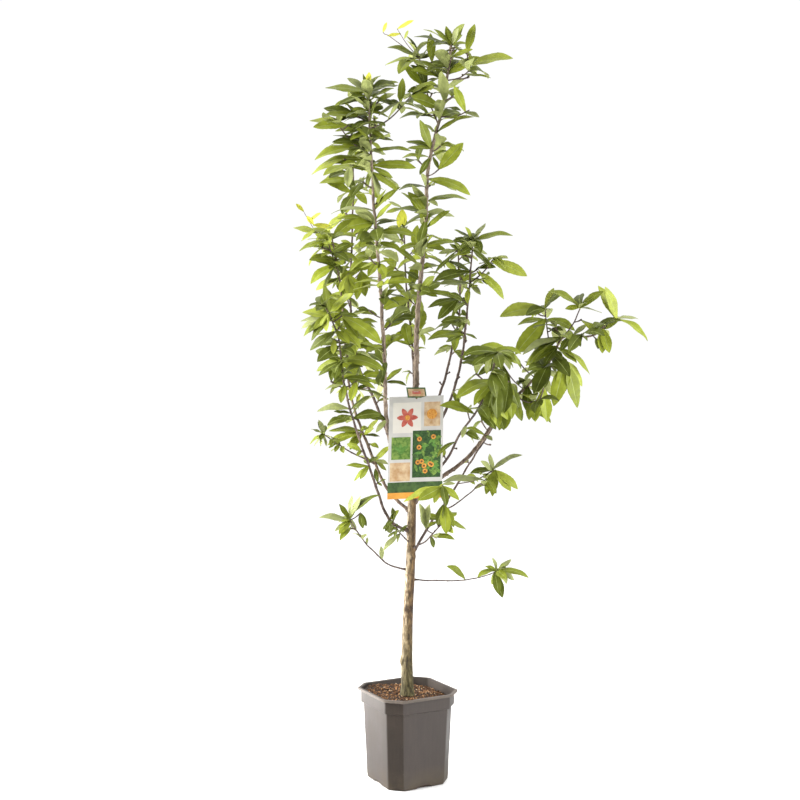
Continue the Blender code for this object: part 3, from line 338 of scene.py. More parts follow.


# FRESH and LIGHT blades are partly painted glow: light shining through the blades.
DEEP, MID, FRESH, LIGHT, YOUNG, PALE = range(6)
SPRAYS = (
    Spray("leader", (0.107, 1.862), None, (
        (0.018, 1.867, -0.020, 0.50, 0.5, DEEP),
        (0.044, 1.884, 0.045, 0.40, 0.5, PALE),
        (0.143, 1.899, -0.050, 0.90, 0.3, MID),
        (0.124, 1.886, 0.020, 0.80, 0.2, PALE),
        (0.062, 1.842, -0.040, 0.60, 0.7, DEEP),
    )),
    Spray("leader", (0.112, 1.848), -0.050, (
        (0.138, 1.872, -0.020, 0.80, 0.3, DEEP),
        (0.152, 1.852, 0.020, 0.70, 0.4, MID),
        (0.102, 1.888, -0.010, 0.90, 0.1, MID),
        (0.068, 1.886, -0.020, 0.80, 0.3, MID),
        (0.128, 1.890, -0.030, 0.90, 0.1, PALE),
    )),
    Spray("leader", (0.112, 1.818), -0.060, (
        (0.164, 1.836, -0.020, 0.80, 0.3, FRESH),
        (0.152, 1.806, 0.010, 0.60, 0.4, DEEP),
    )),
    Spray("leader", (0.150, 1.830), -0.055, (
        (0.169, 1.899, 0.000, 0.85, 0.1, FRESH),
        (0.119, 1.864, -0.010, 0.90, 0.1, PALE),
    )),
    Spray("leader", (0.104, 1.812), None, (
        (0.123, 1.835, 0.050, 0.70, 0.6, MID),
        (0.066, 1.826, 0.030, 0.60, 0.5, DEEP),
    )),
    Spray("leader", (0.099, 1.775), None, (
        (0.187, 1.813, -0.030, 0.82, 0.5, FRESH),
        (0.003, 1.810, -0.030, 0.62, 0.4, MID),
        (0.112, 1.800, 0.070, 0.50, 0.8, DEEP),
    )),
    Spray("leader", (0.157, 1.797), -0.050, (
        (0.264, 1.812, -0.015, 0.80, 0.6, LIGHT),
        (0.190, 1.804, 0.010, -0.60, 0.4, MID),
    )),
    Spray("leader", (0.138, 1.773), -0.040, (
        (0.210, 1.764, 0.010, 0.50, 0.3, MID),
    )),
    Spray("leader", (0.030, 1.812), 0.025, (
        (-0.046, 1.838, -0.020, 0.62, 0.8, MID),
        (-0.056, 1.795, 0.010, 0.62, 0.7, FRESH),
    )),
    Spray("leader", (0.062, 1.804), -0.010, (
        (0.058, 1.877, -0.010, 0.97, 0.0, FRESH),
    )),
    Spray("leader", (0.042, 1.742), None, (
        (-0.014, 1.802, -0.020, 0.88, 0.0, FRESH),
        (0.030, 1.769, 0.040, 0.70, 0.3, MID),
        (0.088, 1.735, -0.050, 0.60, 0.5, DEEP),
    )),
    Spray("leader", (0.095, 1.736), None, (
        (0.142, 1.760, 0.020, -0.45, 0.4, PALE),
        (0.034, 1.745, 0.020, 0.60, 0.6, DEEP),
    )),
    Spray("leader", (0.096, 1.705), None, (
        (0.086, 1.780, -0.050, -0.70, 0.1, PALE),
    )),
    Spray("leader", (0.090, 1.690), None, (
        (0.006, 1.714, -0.040, 0.90, 0.5, MID),
        (0.135, 1.680, -0.040, 0.55, 0.7, DEEP),
        (0.045, 1.690, 0.040, 0.60, 0.5, FRESH),
        (0.118, 1.712, 0.060, 0.50, 0.6, DEEP),
    )),
    Spray("leader", (0.146, 1.678), -0.050, (
        (0.117, 1.745, -0.005, 0.90, 0.0, FRESH),
        (0.182, 1.664, -0.020, 0.90, 0.5, PALE),
    )),
    Spray("leader", (0.060, 1.656), None, (
        (-0.014, 1.657, -0.015, 0.50, 1.2, DEEP),
        (0.075, 1.690, 0.040, 0.60, 0.4, MID),
    )),
    Spray("leader", (0.077, 1.622), None, (
        (0.160, 1.661, -0.020, 0.50, 0.9, FRESH),
        (0.040, 1.648, -0.010, 0.60, 0.3, PALE),
    )),
    Spray("leader", (0.057, 1.588), None, (
        (0.031, 1.659, -0.030, 0.92, 0.0, MID),
        (-0.002, 1.603, 0.020, 0.62, 0.4, DEEP),
        (0.000, 1.586, -0.020, 0.72, 0.4, MID),
    )),
    Spray("leader", (0.050, 1.568), None, (
        (-0.012, 1.560, -0.030, 0.60, 0.9, FRESH),
        (0.112, 1.579, 0.020, 0.50, 0.5, MID),
        (0.031, 1.519, -0.030, 0.80, 0.1, DEEP),
    )),
    Spray("leader", (0.079, 1.534), -0.020, (
        (0.141, 1.601, -0.010, 1.00, 0.0, FRESH),
        (0.064, 1.566, 0.010, 0.80, 0.0, DEEP),
    )),
    Spray("leader", (0.066, 1.509), None, (
        (0.158, 1.462, -0.020, 0.72, 1.1, FRESH),
        (0.125, 1.478, 0.030, 0.70, 0.5, PALE),
    )),
    Spray("leader", (0.046, 1.488), None, (
        (-0.019, 1.477, -0.030, 0.60, 1.2, DEEP),
        (0.034, 1.522, -0.030, 0.70, 0.3, PALE),
    )),
    Spray("leader", (0.060, 1.455), None, (
        (0.146, 1.455, 0.030, 0.45, 0.9, MID),
    )),
    Spray("leader", (0.043, 1.424), None, (
        (0.001, 1.477, -0.030, 1.00, 0.0, FRESH),
        (-0.034, 1.430, 0.020, 0.50, 0.6, DEEP),
        (0.118, 1.413, 0.030, 0.70, 0.6, PALE),
    )),
    Spray("leader", (0.056, 1.385), None, (
        (0.105, 1.428, -0.030, 0.60, 0.4, MID),
    )),
    Spray("leader", (0.045, 1.410), None, (
        (0.029, 1.340, -0.030, 0.92, 0.1, DEEP),
    )),
    Spray("leader", (0.045, 1.340), None, (
        (0.120, 1.350, 0.020, 0.60, 0.6, MID),
        (0.098, 1.330, -0.020, 0.75, 0.4, MID),
        (-0.022, 1.329, -0.020, 0.60, 0.7, MID),
    )),
    Spray("left_inner", (-0.103, 1.735), None, (
        (-0.207, 1.739, 0.020, 0.70, 0.3, MID),
        (-0.152, 1.763, -0.040, 0.85, 0.1, PALE),
        (-0.025, 1.752, -0.020, 0.70, 0.5, MID),
        (-0.112, 1.775, 0.010, 0.60, 0.0, DEEP),
        (-0.097, 1.779, 0.020, 0.90, 0.0, YOUNG),
    )),
    Spray("left_inner", (-0.100, 1.706), None, (
        (-0.148, 1.735, 0.030, 0.85, 0.0, FRESH),
        (-0.036, 1.737, -0.040, 0.55, 0.5, MID),
        (-0.184, 1.692, -0.010, 0.62, 0.7, MID),
    )),
    Spray("left_inner", (-0.098, 1.722), None, (
        (-0.162, 1.702, 0.020, 0.60, 0.4, DEEP),
        (-0.048, 1.698, 0.030, 0.50, 0.4, DEEP),
        (-0.174, 1.696, -0.020, 0.60, 0.4, DEEP),
    )),
    Spray("left_inner", (-0.097, 1.680), None, (
        (-0.160, 1.654, 0.030, 0.60, 0.4, DEEP),
        (-0.045, 1.664, 0.030, 0.60, 0.4, MID),
        (-0.138, 1.684, -0.050, 0.75, 0.2, MID),
    )),
    Spray("left_inner", (-0.094, 1.634), None, (
        (-0.162, 1.644, 0.020, 0.60, 0.4, DEEP),
        (-0.042, 1.624, 0.020, 0.60, 0.4, DEEP),
        (-0.146, 1.606, -0.030, 0.70, 0.4, MID),
        (-0.058, 1.610, -0.040, 0.80, 0.3, MID),
        (-0.182, 1.630, 0.030, 0.65, 0.3, MID),
        (-0.160, 1.620, -0.020, 0.60, 0.3, DEEP),
    )),
    Spray("left_inner", (-0.074, 1.703), -0.100, (
        (-0.031, 1.724, 0.030, 0.70, 0.4, LIGHT),
        (-0.034, 1.699, -0.020, 0.80, 0.4, FRESH),
    )),
    Spray("left_inner", (-0.019, 1.702), -0.110, (
        (-0.012, 1.764, 0.000, 0.95, 0.0, MID),
        (0.030, 1.686, 0.020, 0.45, 0.4, DEEP),
        (-0.074, 1.668, -0.020, 0.55, 0.3, PALE),
    )),
    Spray("left_inner", (-0.125, 1.668), -0.130, (
        (-0.211, 1.688, 0.010, 0.82, 0.1, DEEP),
        (-0.157, 1.702, 0.030, 0.60, 0.3, MID),
        (-0.206, 1.672, -0.020, 0.70, 0.3, MID),
        (-0.186, 1.652, 0.020, 0.60, 0.3, DEEP),
    )),
    Spray("left_inner", (-0.150, 1.646), -0.140, (
        (-0.246, 1.656, 0.010, 0.70, 0.3, LIGHT),
        (-0.238, 1.640, -0.020, 0.85, 0.2, FRESH),
    )),
    Spray("left_inner", (-0.099, 1.656), None, (
        (-0.056, 1.640, -0.050, 0.60, 0.8, DEEP),
        (-0.150, 1.668, 0.030, 0.60, 0.5, DEEP),
        (-0.141, 1.636, -0.040, 0.70, 0.5, DEEP),
    )),
    Spray("left_inner", (-0.092, 1.605), None, (
        (-0.187, 1.619, -0.010, 0.50, 0.3, DEEP),
        (-0.190, 1.602, -0.020, 0.70, 0.3, DEEP),
        (-0.060, 1.576, 0.030, 0.75, 0.3, MID),
        (-0.196, 1.592, 0.030, 0.60, 0.6, MID),
        (-0.062, 1.648, -0.050, 0.90, 0.0, PALE),
        (-0.036, 1.605, -0.030, 0.45, 0.6, DEEP),
        (-0.128, 1.634, -0.040, 0.70, 0.3, MID),
    )),
    Spray("left_inner", (-0.120, 1.590), -0.130, (
        (-0.235, 1.555, -0.010, 0.60, 0.7, FRESH),
        (-0.184, 1.588, 0.020, 0.90, 0.2, MID),
    )),
    Spray("left_inner", (-0.089, 1.582), None, (
        (0.007, 1.579, -0.010, 0.45, 0.7, MID),
        (-0.120, 1.604, -0.050, -0.60, 0.6, MID),
        (-0.055, 1.572, 0.030, 0.80, 0.3, PALE),
    )),
    Spray("left_inner", (-0.105, 1.560), -0.130, (
        (-0.218, 1.545, 0.000, 0.72, 0.5, MID),
    )),
    Spray("left_inner", (-0.160, 1.560), -0.140, (
        (-0.244, 1.518, 0.000, 0.65, 0.6, LIGHT),
    )),
    Spray("left_back", (-0.144, 1.545), 0.080, (
        (-0.214, 1.516, -0.060, 0.80, 0.6, FRESH),
        (-0.150, 1.486, -0.020, 0.95, 0.2, PALE),
    )),
    Spray("left_back", (-0.140, 1.508), None, (
        (-0.222, 1.498, -0.030, 0.75, 0.5, FRESH),
        (-0.182, 1.487, 0.020, 0.60, 0.4, DEEP),
    )),
    Spray("left_inner", (-0.087, 1.538), None, (
        (-0.036, 1.512, 0.030, 0.75, 0.3, MID),
    )),
    Spray("left_inner", (-0.089, 1.545), None, (
        (0.021, 1.536, -0.010, 0.75, 0.6, FRESH),
    )),
    Spray("left_inner", (-0.086, 1.532), None, (
        (-0.024, 1.479, -0.030, 0.62, 0.2, FRESH),
        (-0.074, 1.466, -0.020, 0.60, 0.2, PALE),
        (-0.105, 1.482, 0.050, 0.70, 0.3, DEEP),
    )),
    Spray("left_back", (-0.138, 1.485), None, (
        (-0.153, 1.434, -0.030, 0.90, 0.1, MID),
        (-0.102, 1.445, -0.030, 0.90, 0.1, FRESH),
    )),
    Spray("left_inner", (-0.088, 1.428), None, (
        (-0.188, 1.418, 0.020, 0.40, 1.0, PALE),
        (-0.055, 1.482, 0.020, 0.50, 0.2, MID),
        (-0.021, 1.486, -0.030, 0.55, 0.5, MID),
    )),
    Spray("left_inner", (-0.083, 1.405), None, (
        (-0.175, 1.406, -0.010, 0.60, 0.8, MID),
        (-0.153, 1.388, -0.040, 0.95, 0.2, FRESH),
        (-0.214, 1.358, 0.030, 0.30, 1.4, MID),
        (-0.040, 1.447, -0.030, 0.60, 0.3, FRESH),
        (-0.140, 1.368, 0.010, 0.75, 0.4, MID),
        (-0.132, 1.350, -0.020, 0.80, 0.4, DEEP),
    )),
    Spray("left_inner", (-0.078, 1.375), None, (
        (0.019, 1.362, -0.030, 0.62, 0.9, MID),
        (-0.124, 1.337, -0.030, 0.90, 0.5, MID),
        (-0.020, 1.357, 0.030, 0.60, 0.5, PALE),
    )),
    Spray("left_inner", (-0.075, 1.350), None, (
        (-0.016, 1.330, -0.020, 0.70, 0.6, MID),
        (-0.108, 1.326, 0.020, 0.60, 0.5, DEEP),
    )),
    Spray("left_inner", (-0.073, 1.302), None, (
        (-0.054, 1.262, -0.050, 1.00, 0.3, FRESH),
        (-0.030, 1.300, -0.030, 0.60, 0.6, MID),
        (-0.118, 1.284, 0.020, 0.60, 0.6, MID),
        (-0.100, 1.262, -0.030, 0.85, 0.2, MID),
    )),
    Spray("left_outer", (-0.205, 1.352), None, (
        (-0.274, 1.326, 0.000, 0.50, 0.6, MID),
        (-0.160, 1.372, -0.040, 0.60, 0.5, DEEP),
    )),
    Spray("left_outer", (-0.192, 1.325), None, (
        (-0.242, 1.303, 0.010, 0.50, 0.5, MID),
        (-0.146, 1.346, -0.040, 0.80, 0.3, DEEP),
        (-0.148, 1.302, -0.050, 0.80, 0.5, DEEP),
        (-0.226, 1.334, 0.040, 0.60, 0.5, DEEP),
    )),
    Spray("left_outer", (-0.186, 1.294), None, (
        (-0.247, 1.241, -0.020, 0.80, 0.7, FRESH),
        (-0.236, 1.252, 0.020, 0.80, 0.5, MID),
        (-0.166, 1.270, -0.030, 0.80, 0.4, DEEP),
    )),
    Spray("left_outer", (-0.174, 1.262), None, (
        (-0.204, 1.244, -0.010, 0.70, 0.3, DEEP),
        (-0.190, 1.232, 0.010, 0.70, 0.3, DEEP),
        (-0.184, 1.282, 0.030, 0.80, 0.2, PALE),
    )),
    Spray("left_back", (-0.148, 1.270), 0.030, (
        (-0.172, 1.220, -0.030, 0.95, 0.3, LIGHT),
        (-0.146, 1.206, -0.040, 0.95, 0.2, LIGHT),
        (-0.120, 1.222, -0.030, 0.90, 0.2, FRESH),
    )),
    Spray("back", (-0.014, 1.436), 0.170, (
        (-0.022, 1.386, -0.030, 1.00, 0.1, YOUNG),
        (-0.008, 1.392, -0.020, 1.00, 0.1, YOUNG),
        (-0.054, 1.424, -0.020, 0.80, 0.2, LIGHT),
        (-0.048, 1.452, -0.010, 0.70, 0.2, PALE),
    )),
    Spray("left_back", (-0.116, 1.278), 0.090, (
        (-0.106, 1.212, -0.020, 1.00, 0.1, LIGHT),
        (-0.128, 1.204, -0.030, 0.95, 0.1, FRESH),
        (-0.094, 1.232, -0.010, 0.95, 0.2, FRESH),
        (-0.122, 1.228, -0.030, 0.90, 0.2, FRESH),
    )),
    Spray("leader", (0.030, 1.225), None, (
        (0.068, 1.264, -0.030, 0.85, 0.2, MID),
        (0.076, 1.212, -0.030, 0.75, 0.5, MID),
    )),
    Spray("leader", (0.023, 1.118), None, (
        (0.070, 1.130, -0.030, 0.75, 0.4, PALE),
    )),
    Spray("right_back", (0.112, 1.090), None, (
        (0.066, 1.064, -0.010, 0.65, 0.6, PALE),
        (0.078, 1.082, 0.010, 0.60, 0.3, MID),
    )),
    Spray("back", (-0.004, 1.275), None, (
        (-0.055, 1.262, -0.040, 0.80, 0.5, MID),
        (-0.046, 1.230, -0.060, 0.85, 0.4, MID),
        (0.034, 1.252, -0.030, 0.80, 0.4, DEEP),
    )),
    Spray("back", (0.000, 1.206), None, (
        (-0.057, 1.177, -0.030, 0.75, 0.5, MID),
        (-0.030, 1.160, -0.010, 0.70, 0.2, DEEP),
        (-0.046, 1.218, 0.000, 0.45, 0.5, DEEP),
        (-0.034, 1.248, -0.020, 0.75, 0.2, MID),
    )),
    Spray("back", (0.004, 1.166), None, (
        (-0.062, 1.132, -0.030, 0.85, 0.4, MID),
    )),
    Spray("back", (0.006, 1.131), None, (
        (-0.040, 1.097, -0.020, 0.90, 0.3, FRESH),
    )),
    Spray("left_low", (-0.205, 1.165), None, (
        (-0.263, 1.173, 0.020, 0.70, 0.5, LIGHT),
        (-0.269, 1.150, 0.000, 0.60, 0.6, PALE),
        (-0.268, 1.132, 0.030, 0.60, 0.5, PALE),
        (-0.264, 1.110, 0.000, 0.60, 0.5, MID),
        (-0.244, 1.098, -0.020, 0.75, 0.4, DEEP),
        (-0.236, 1.130, -0.030, 0.80, 0.3, MID),
        (-0.252, 1.120, -0.010, 0.70, 0.4, DEEP),
        (-0.210, 1.246, 0.010, 0.60, 0.1, MID),
        (-0.204, 1.124, -0.040, 0.70, 0.2, LIGHT),
        (-0.216, 1.140, -0.090, 0.50, 0.3, MID),
    )),
    Spray("left_low", (-0.198, 1.170), None, (
        (-0.138, 1.220, -0.040, 0.70, 0.2, FRESH),
        (-0.150, 1.196, -0.020, 0.70, 0.2, MID),
    )),
    Spray("left_low", (-0.165, 1.165), -0.150, (
        (-0.062, 1.088, -0.030, 0.72, 0.7, FRESH),
        (-0.122, 1.162, 0.020, 0.70, 0.5, DEEP),
        (-0.124, 1.108, -0.020, 0.95, 0.3, MID),
    )),
    Spray("left_low", (-0.180, 1.128), None, (
        (-0.248, 1.075, 0.020, 0.80, 0.5, DEEP),
        (-0.220, 1.085, -0.020, 0.60, 0.3, DEEP),
        (-0.146, 1.094, -0.040, 0.90, 0.2, FRESH),
    )),
    Spray("left_low", (-0.185, 1.106), -0.150, (
        (-0.187, 1.068, -0.020, 1.00, 0.0, LIGHT),
    )),
    Spray("left_low", (-0.166, 1.052), None, (
        (-0.226, 1.012, -0.010, 0.80, 0.5, DEEP),
        (-0.184, 1.003, -0.040, 0.95, 0.2, DEEP),
        (-0.230, 1.024, 0.030, 0.75, 0.5, MID),
        (-0.060, 1.023, -0.040, 0.60, 0.9, MID),
    )),
    Spray("left_low", (-0.157, 0.994), None, (
        (-0.207, 0.977, -0.010, 0.50, 0.9, PALE),
        (-0.168, 0.944, -0.020, 0.95, 0.1, MID),
    )),
    Spray("left_low", (-0.128, 1.000), -0.110, (
        (-0.143, 0.949, -0.030, 0.95, 0.1, FRESH),
        (-0.080, 0.980, 0.010, 0.60, 0.6, MID),
    )),
    Spray("left_low", (-0.138, 0.930), None, (
        (-0.094, 0.962, -0.020, 0.50, 0.3, DEEP),
        (-0.226, 0.922, 0.010, 0.50, 0.8, PALE),
    )),
    Spray("left_inner", (-0.053, 0.998), None, (
        (-0.003, 0.988, -0.020, 0.50, 0.6, DEEP),
        (-0.015, 1.032, 0.020, 0.60, 0.3, MID),
        (-0.076, 0.962, 0.030, 0.70, 0.4, PALE),
    )),
    Spray("left_back", (-0.130, 1.176), 0.100, (
        (-0.076, 1.167, -0.010, 0.70, 0.4, MID),
    )),
    Spray("right_front", (0.165, 1.368), None, (
        (0.262, 1.365, -0.010, 0.55, 0.7, MID),
        (0.196, 1.397, 0.030, 0.50, 0.2, PALE),
        (0.119, 1.381, -0.030, 0.45, 0.2, DEEP),
        (0.112, 1.351, 0.000, 0.80, 0.5, DEEP),
        (0.146, 1.388, -0.030, 0.80, 0.2, FRESH),
    )),
    Spray("right_front", (0.178, 1.362), -0.080, (
        (0.186, 1.322, -0.020, 1.00, 0.2, DEEP),
        (0.170, 1.326, 0.020, 0.90, 0.2, MID),
    )),
    Spray("right_front", (0.158, 1.335), None, (
        (0.211, 1.282, -0.030, 0.70, 0.3, DEEP),
        (0.202, 1.320, 0.020, 0.70, 0.3, PALE),
        (0.136, 1.322, -0.030, 0.90, 0.3, DEEP),
    )),
    Spray("right_front", (0.122, 1.328), -0.070, (
        (0.064, 1.265, -0.010, 0.45, 0.3, DEEP),
        (0.078, 1.322, 0.010, 0.80, 0.3, PALE),
    )),
    Spray("right_front", (0.212, 1.303), -0.090, (
        (0.304, 1.263, -0.015, 0.95, 0.5, LIGHT),
    )),
    Spray("right_front", (0.176, 1.277), -0.080, (
        (0.246, 1.201, 0.000, 0.72, 0.6, FRESH),
    )),
    Spray("right_front", (0.152, 1.278), None, (
        (0.066, 1.251, -0.020, 0.70, 0.5, DEEP),
        (0.098, 1.304, 0.020, 0.60, 0.3, DEEP),
    )),
    Spray("right_front", (0.148, 1.250), None, (
        (0.078, 1.244, -0.020, 0.55, 0.3, PALE),
        (0.185, 1.217, -0.020, 0.90, 0.2, PALE),
    )),
    Spray("right_front", (0.128, 1.209), -0.060, (
        (0.050, 1.184, -0.020, 0.70, 0.5, DEEP),
        (0.076, 1.155, -0.020, 0.85, 0.1, DEEP),
        (0.050, 1.227, 0.030, 0.60, 0.3, FRESH),
    )),
    Spray("right_front", (0.140, 1.158), None, (
        (0.084, 1.149, -0.020, 0.80, 0.3, DEEP),
    )),
    Spray("right_front", (0.136, 1.122), None, (
        (0.052, 1.102, -0.020, 0.60, 0.8, MID),
        (0.176, 1.106, 0.000, 0.60, 0.3, DEEP),
        (0.096, 1.098, 0.020, 0.80, 0.3, DEEP),
    )),
    Spray("right_long", (0.347, 1.182), None, (
        (0.233, 1.160, -0.010, 0.80, 0.8, LIGHT),
        (0.369, 1.235, -0.020, 0.95, 0.0, LIGHT),
    )),
    Spray("right_long", (0.354, 1.158), None, (
        (0.278, 1.140, 0.010, 0.50, 0.7, MID),
        (0.421, 1.121, -0.020, 0.80, 1.3, MID),
        (0.268, 1.062, -0.030, 0.95, 0.4, FRESH),
        (0.286, 1.068, -0.020, 0.95, 0.4, MID),
    )),
    Spray("right_long", (0.427, 1.190), None, (
        (0.361, 1.221, 0.010, 0.50, 0.9, MID),
        (0.490, 1.224, -0.015, 0.80, 0.6, MID),
        (0.490, 1.172, 0.040, 0.25, 0.2, PALE),
        (0.397, 1.182, 0.000, 0.90, 0.3, FRESH),
    )),
    Spray("right_long", (0.531, 1.157), -0.010, (
        (0.484, 1.234, -0.010, 0.90, 0.5, LIGHT),
        (0.500, 1.232, -0.020, 0.90, 0.5, LIGHT),
        (0.607, 1.094, -0.020, 0.60, 1.0, FRESH),
        (0.581, 1.156, 0.040, 0.40, 0.6, PALE),
        (0.472, 1.126, 0.030, 0.80, 0.4, DEEP),
        (0.500, 1.130, -0.010, 0.80, 0.3, MID),
    )),
    Spray("right_long", (0.474, 1.108), -0.010, (
        (0.481, 1.080, -0.010, 0.90, 0.1, DEEP),
        (0.488, 1.096, 0.010, 0.60, 0.2, DEEP),
    )),
    Spray("right_long", (0.499, 1.128), None, (
        (0.491, 1.069, -0.030, 1.00, 0.1, FRESH),
        (0.509, 1.070, -0.034, 1.00, 0.1, FRESH),
    )),
    Spray("right_long", (0.378, 1.120), None, (
        (0.298, 1.044, 0.020, 0.30, 0.9, MID),
        (0.290, 1.062, -0.020, 0.40, 0.9, PALE),
        (0.306, 1.040, -0.030, 0.35, 0.9, MID),
        (0.322, 1.052, -0.020, 0.42, 0.8, MID),
        (0.318, 1.078, 0.010, 0.40, 0.7, DEEP),
        (0.350, 1.136, 0.030, 0.60, 0.3, DEEP),
    )),
    Spray("right_long", (0.416, 1.116), None, (
        (0.385, 1.074, -0.030, 0.90, 0.4, DEEP),
        (0.437, 1.086, -0.040, 0.95, 0.3, DEEP),
        (0.453, 1.143, -0.010, 0.70, 0.3, PALE),
    )),
    Spray("right_long", (0.384, 1.082), None, (
        (0.312, 1.038, -0.020, 0.60, 0.8, MID),
        (0.459, 1.007, -0.010, 0.40, 1.2, FRESH),
        (0.428, 1.044, -0.030, 0.80, 0.4, MID),
        (0.345, 1.040, -0.040, 0.80, 0.4, DEEP),
        (0.296, 1.034, 0.010, 0.60, 0.8, MID),
    )),
    Spray("right_long", (0.400, 1.050), 0.020, (
        (0.368, 0.935, -0.035, 1.00, 0.1, FRESH),
        (0.384, 0.958, -0.020, 1.00, 0.1, FRESH),
        (0.429, 0.926, -0.010, 0.85, 0.3, MID),
        (0.442, 0.982, 0.030, 0.75, 0.5, LIGHT),
    )),
    Spray("right_long", (0.365, 1.046), None, (
        (0.318, 0.962, -0.040, 0.85, 0.2, DEEP),
        (0.345, 0.980, 0.030, 0.80, 0.3, DEEP),
    )),
    Spray("right_long", (0.343, 0.982), -0.020, (
        (0.321, 0.896, 0.010, 0.80, 0.1, FRESH),
        (0.352, 0.895, -0.010, 0.95, 0.1, FRESH),
    )),
    Spray("right_long", (0.302, 0.990), None, (
        (0.305, 0.918, -0.040, 0.95, 0.1, DEEP),
        (0.290, 0.940, 0.020, 0.80, 0.3, DEEP),
    )),
    Spray("right_long", (0.266, 0.984), 0.010, (
        (0.283, 0.902, 0.000, 0.90, 0.1, MID),
        (0.262, 0.925, 0.020, 0.80, 0.2, FRESH),
    )),
    Spray("right_long", (0.268, 1.068), -0.010, (
        (0.188, 1.089, -0.020, 0.85, 0.6, FRESH),
        (0.207, 1.064, 0.020, 0.80, 0.6, MID),
        (0.287, 1.028, -0.020, 0.60, 0.5, DEEP),
    )),
    Spray("right_long", (0.240, 1.040), 0.000, (
        (0.140, 1.052, -0.010, 0.60, 0.7, DEEP),
        (0.215, 0.940, -0.040, 0.95, 0.1, DEEP),
        (0.244, 0.946, -0.050, 0.95, 0.1, DEEP),
        (0.232, 0.950, -0.056, 0.95, 0.1, DEEP),
        (0.176, 1.012, -0.030, 0.70, 0.7, DEEP),
    )),
    Spray("right_long", (0.240, 0.990), 0.000, (
        (0.196, 0.930, -0.030, 0.80, 0.3, MID),
        (0.228, 0.915, -0.020, 0.90, 0.2, FRESH),
        (0.152, 0.975, -0.020, 0.60, 0.9, MID),
    )),
    Spray("right_long", (0.252, 0.934), None, (
        (0.230, 0.874, -0.030, 1.00, 0.2, MID),
        (0.246, 0.878, -0.040, 1.00, 0.2, MID),
    )),
    Spray("right_inner", (0.222, 1.000), -0.090, (
        (0.165, 0.934, -0.020, 0.65, 0.6, MID),
        (0.200, 0.914, -0.020, 0.90, 0.2, DEEP),
        (0.150, 0.988, -0.010, 0.50, 0.6, DEEP),
        (0.226, 0.902, -0.020, 0.95, 0.1, DEEP),
        (0.115, 0.945, 0.000, 0.60, 0.5, MID),
        (0.122, 0.952, -0.030, 0.55, 0.8, MID),
    )),
    Spray("right_inner", (0.256, 1.000), -0.070, (
        (0.264, 0.904, -0.020, 0.95, 0.1, MID),
        (0.282, 0.930, -0.010, 0.90, 0.1, DEEP),
        (0.244, 0.918, -0.030, 0.95, 0.1, DEEP),
    )),
    Spray("right_inner", (0.228, 0.944), -0.070, (
        (0.244, 0.874, -0.020, 1.00, 0.2, DEEP),
        (0.228, 0.880, -0.030, 1.00, 0.2, MID),
        (0.206, 0.890, -0.010, 0.90, 0.2, DEEP),
    )),
    Spray("right_inner", (0.160, 0.922), None, (
        (0.086, 0.936, -0.010, 0.62, 0.8, FRESH),
    )),
    Spray("right_inner", (0.142, 0.894), None, (
        (0.137, 0.856, -0.010, 0.90, 0.2, PALE),
    )),
    Spray("right_long", (0.197, 0.866), None, (
        (0.149, 0.879, -0.020, 0.60, 0.9, MID),
        (0.214, 0.850, -0.010, 0.90, 0.2, PALE),
    )),
    Spray("right_low", (0.218, 0.776), 0.020, (
        (0.284, 0.810, -0.010, 0.36, 0.8, PALE),
        (0.185, 0.798, -0.030, 0.70, 0.2, PALE),
        (0.207, 0.817, 0.030, 0.85, 0.0, PALE),
        (0.158, 0.768, 0.010, 0.60, 0.5, DEEP),
        (0.281, 0.724, -0.020, 0.80, 0.6, LIGHT),
        (0.262, 0.720, -0.030, 0.95, 0.3, LIGHT),
        (0.197, 0.712, -0.020, 0.85, 0.2, MID),
        (0.214, 0.707, -0.030, 0.90, 0.2, MID),
    )),
    Spray("mid_right", (0.186, 0.760), None, (
        (0.090, 0.744, -0.030, 0.45, 0.7, PALE),
    )),
    Spray("low_left", (-0.140, 0.664), None, (
        (-0.220, 0.655, -0.010, 0.45, 0.7, PALE),
        (-0.184, 0.621, -0.020, 0.50, 0.3, PALE),
        (-0.166, 0.618, -0.030, 0.90, 0.2, PALE),
        (-0.172, 0.690, 0.010, 0.60, 0.1, MID),
        (-0.140, 0.713, 0.020, 0.62, 0.0, PALE),
        (-0.118, 0.711, -0.010, 0.50, 0.0, PALE),
        (-0.079, 0.704, -0.015, 0.40, 1.0, DEEP),
        (-0.128, 0.622, 0.015, 0.60, 0.2, PALE),
    )),
    Spray("low_left", (-0.118, 0.668), -0.060, (
        (-0.112, 0.628, -0.020, 1.00, 0.1, DEEP),
        (-0.103, 0.634, -0.014, 1.00, 0.1, DEEP),
    )),
    Spray("low_left", (-0.062, 0.555), None, (
        (-0.067, 0.583, -0.010, 0.90, 0.2, PALE),
    )),
    Spray("low_left", (-0.102, 0.590), None, (
        (-0.101, 0.606, -0.004, 0.90, 0.2, PALE),
    )),
    Spray("low_right", (0.145, 0.506), None, (
        (0.104, 0.528, -0.010, 0.60, 1.2, MID),
    )),
    Spray("low_right", (0.234, 0.526), None, (
        (0.240, 0.453, -0.025, 1.00, 0.1, DEEP),
        (0.230, 0.462, -0.030, 1.00, 0.1, DEEP),
        (0.212, 0.486, 0.010, 0.80, 0.2, MID),
        (0.181, 0.500, -0.010, 0.45, 1.7, MID),
        (0.198, 0.532, 0.015, 0.80, 1.0, MID),
        (0.214, 0.554, -0.010, 0.60, 0.3, PALE),
        (0.262, 0.551, 0.020, 0.60, 0.1, PALE),
        (0.304, 0.502, -0.010, 0.45, 1.0, MID),
        (0.270, 0.498, 0.015, 0.80, 0.3, PALE),
    )),
    Spray("front_low", (0.070, 0.668), None, (
        (0.116, 0.616, -0.030, 1.00, 0.3, FRESH),
        (0.104, 0.626, -0.020, 1.00, 0.3, FRESH),
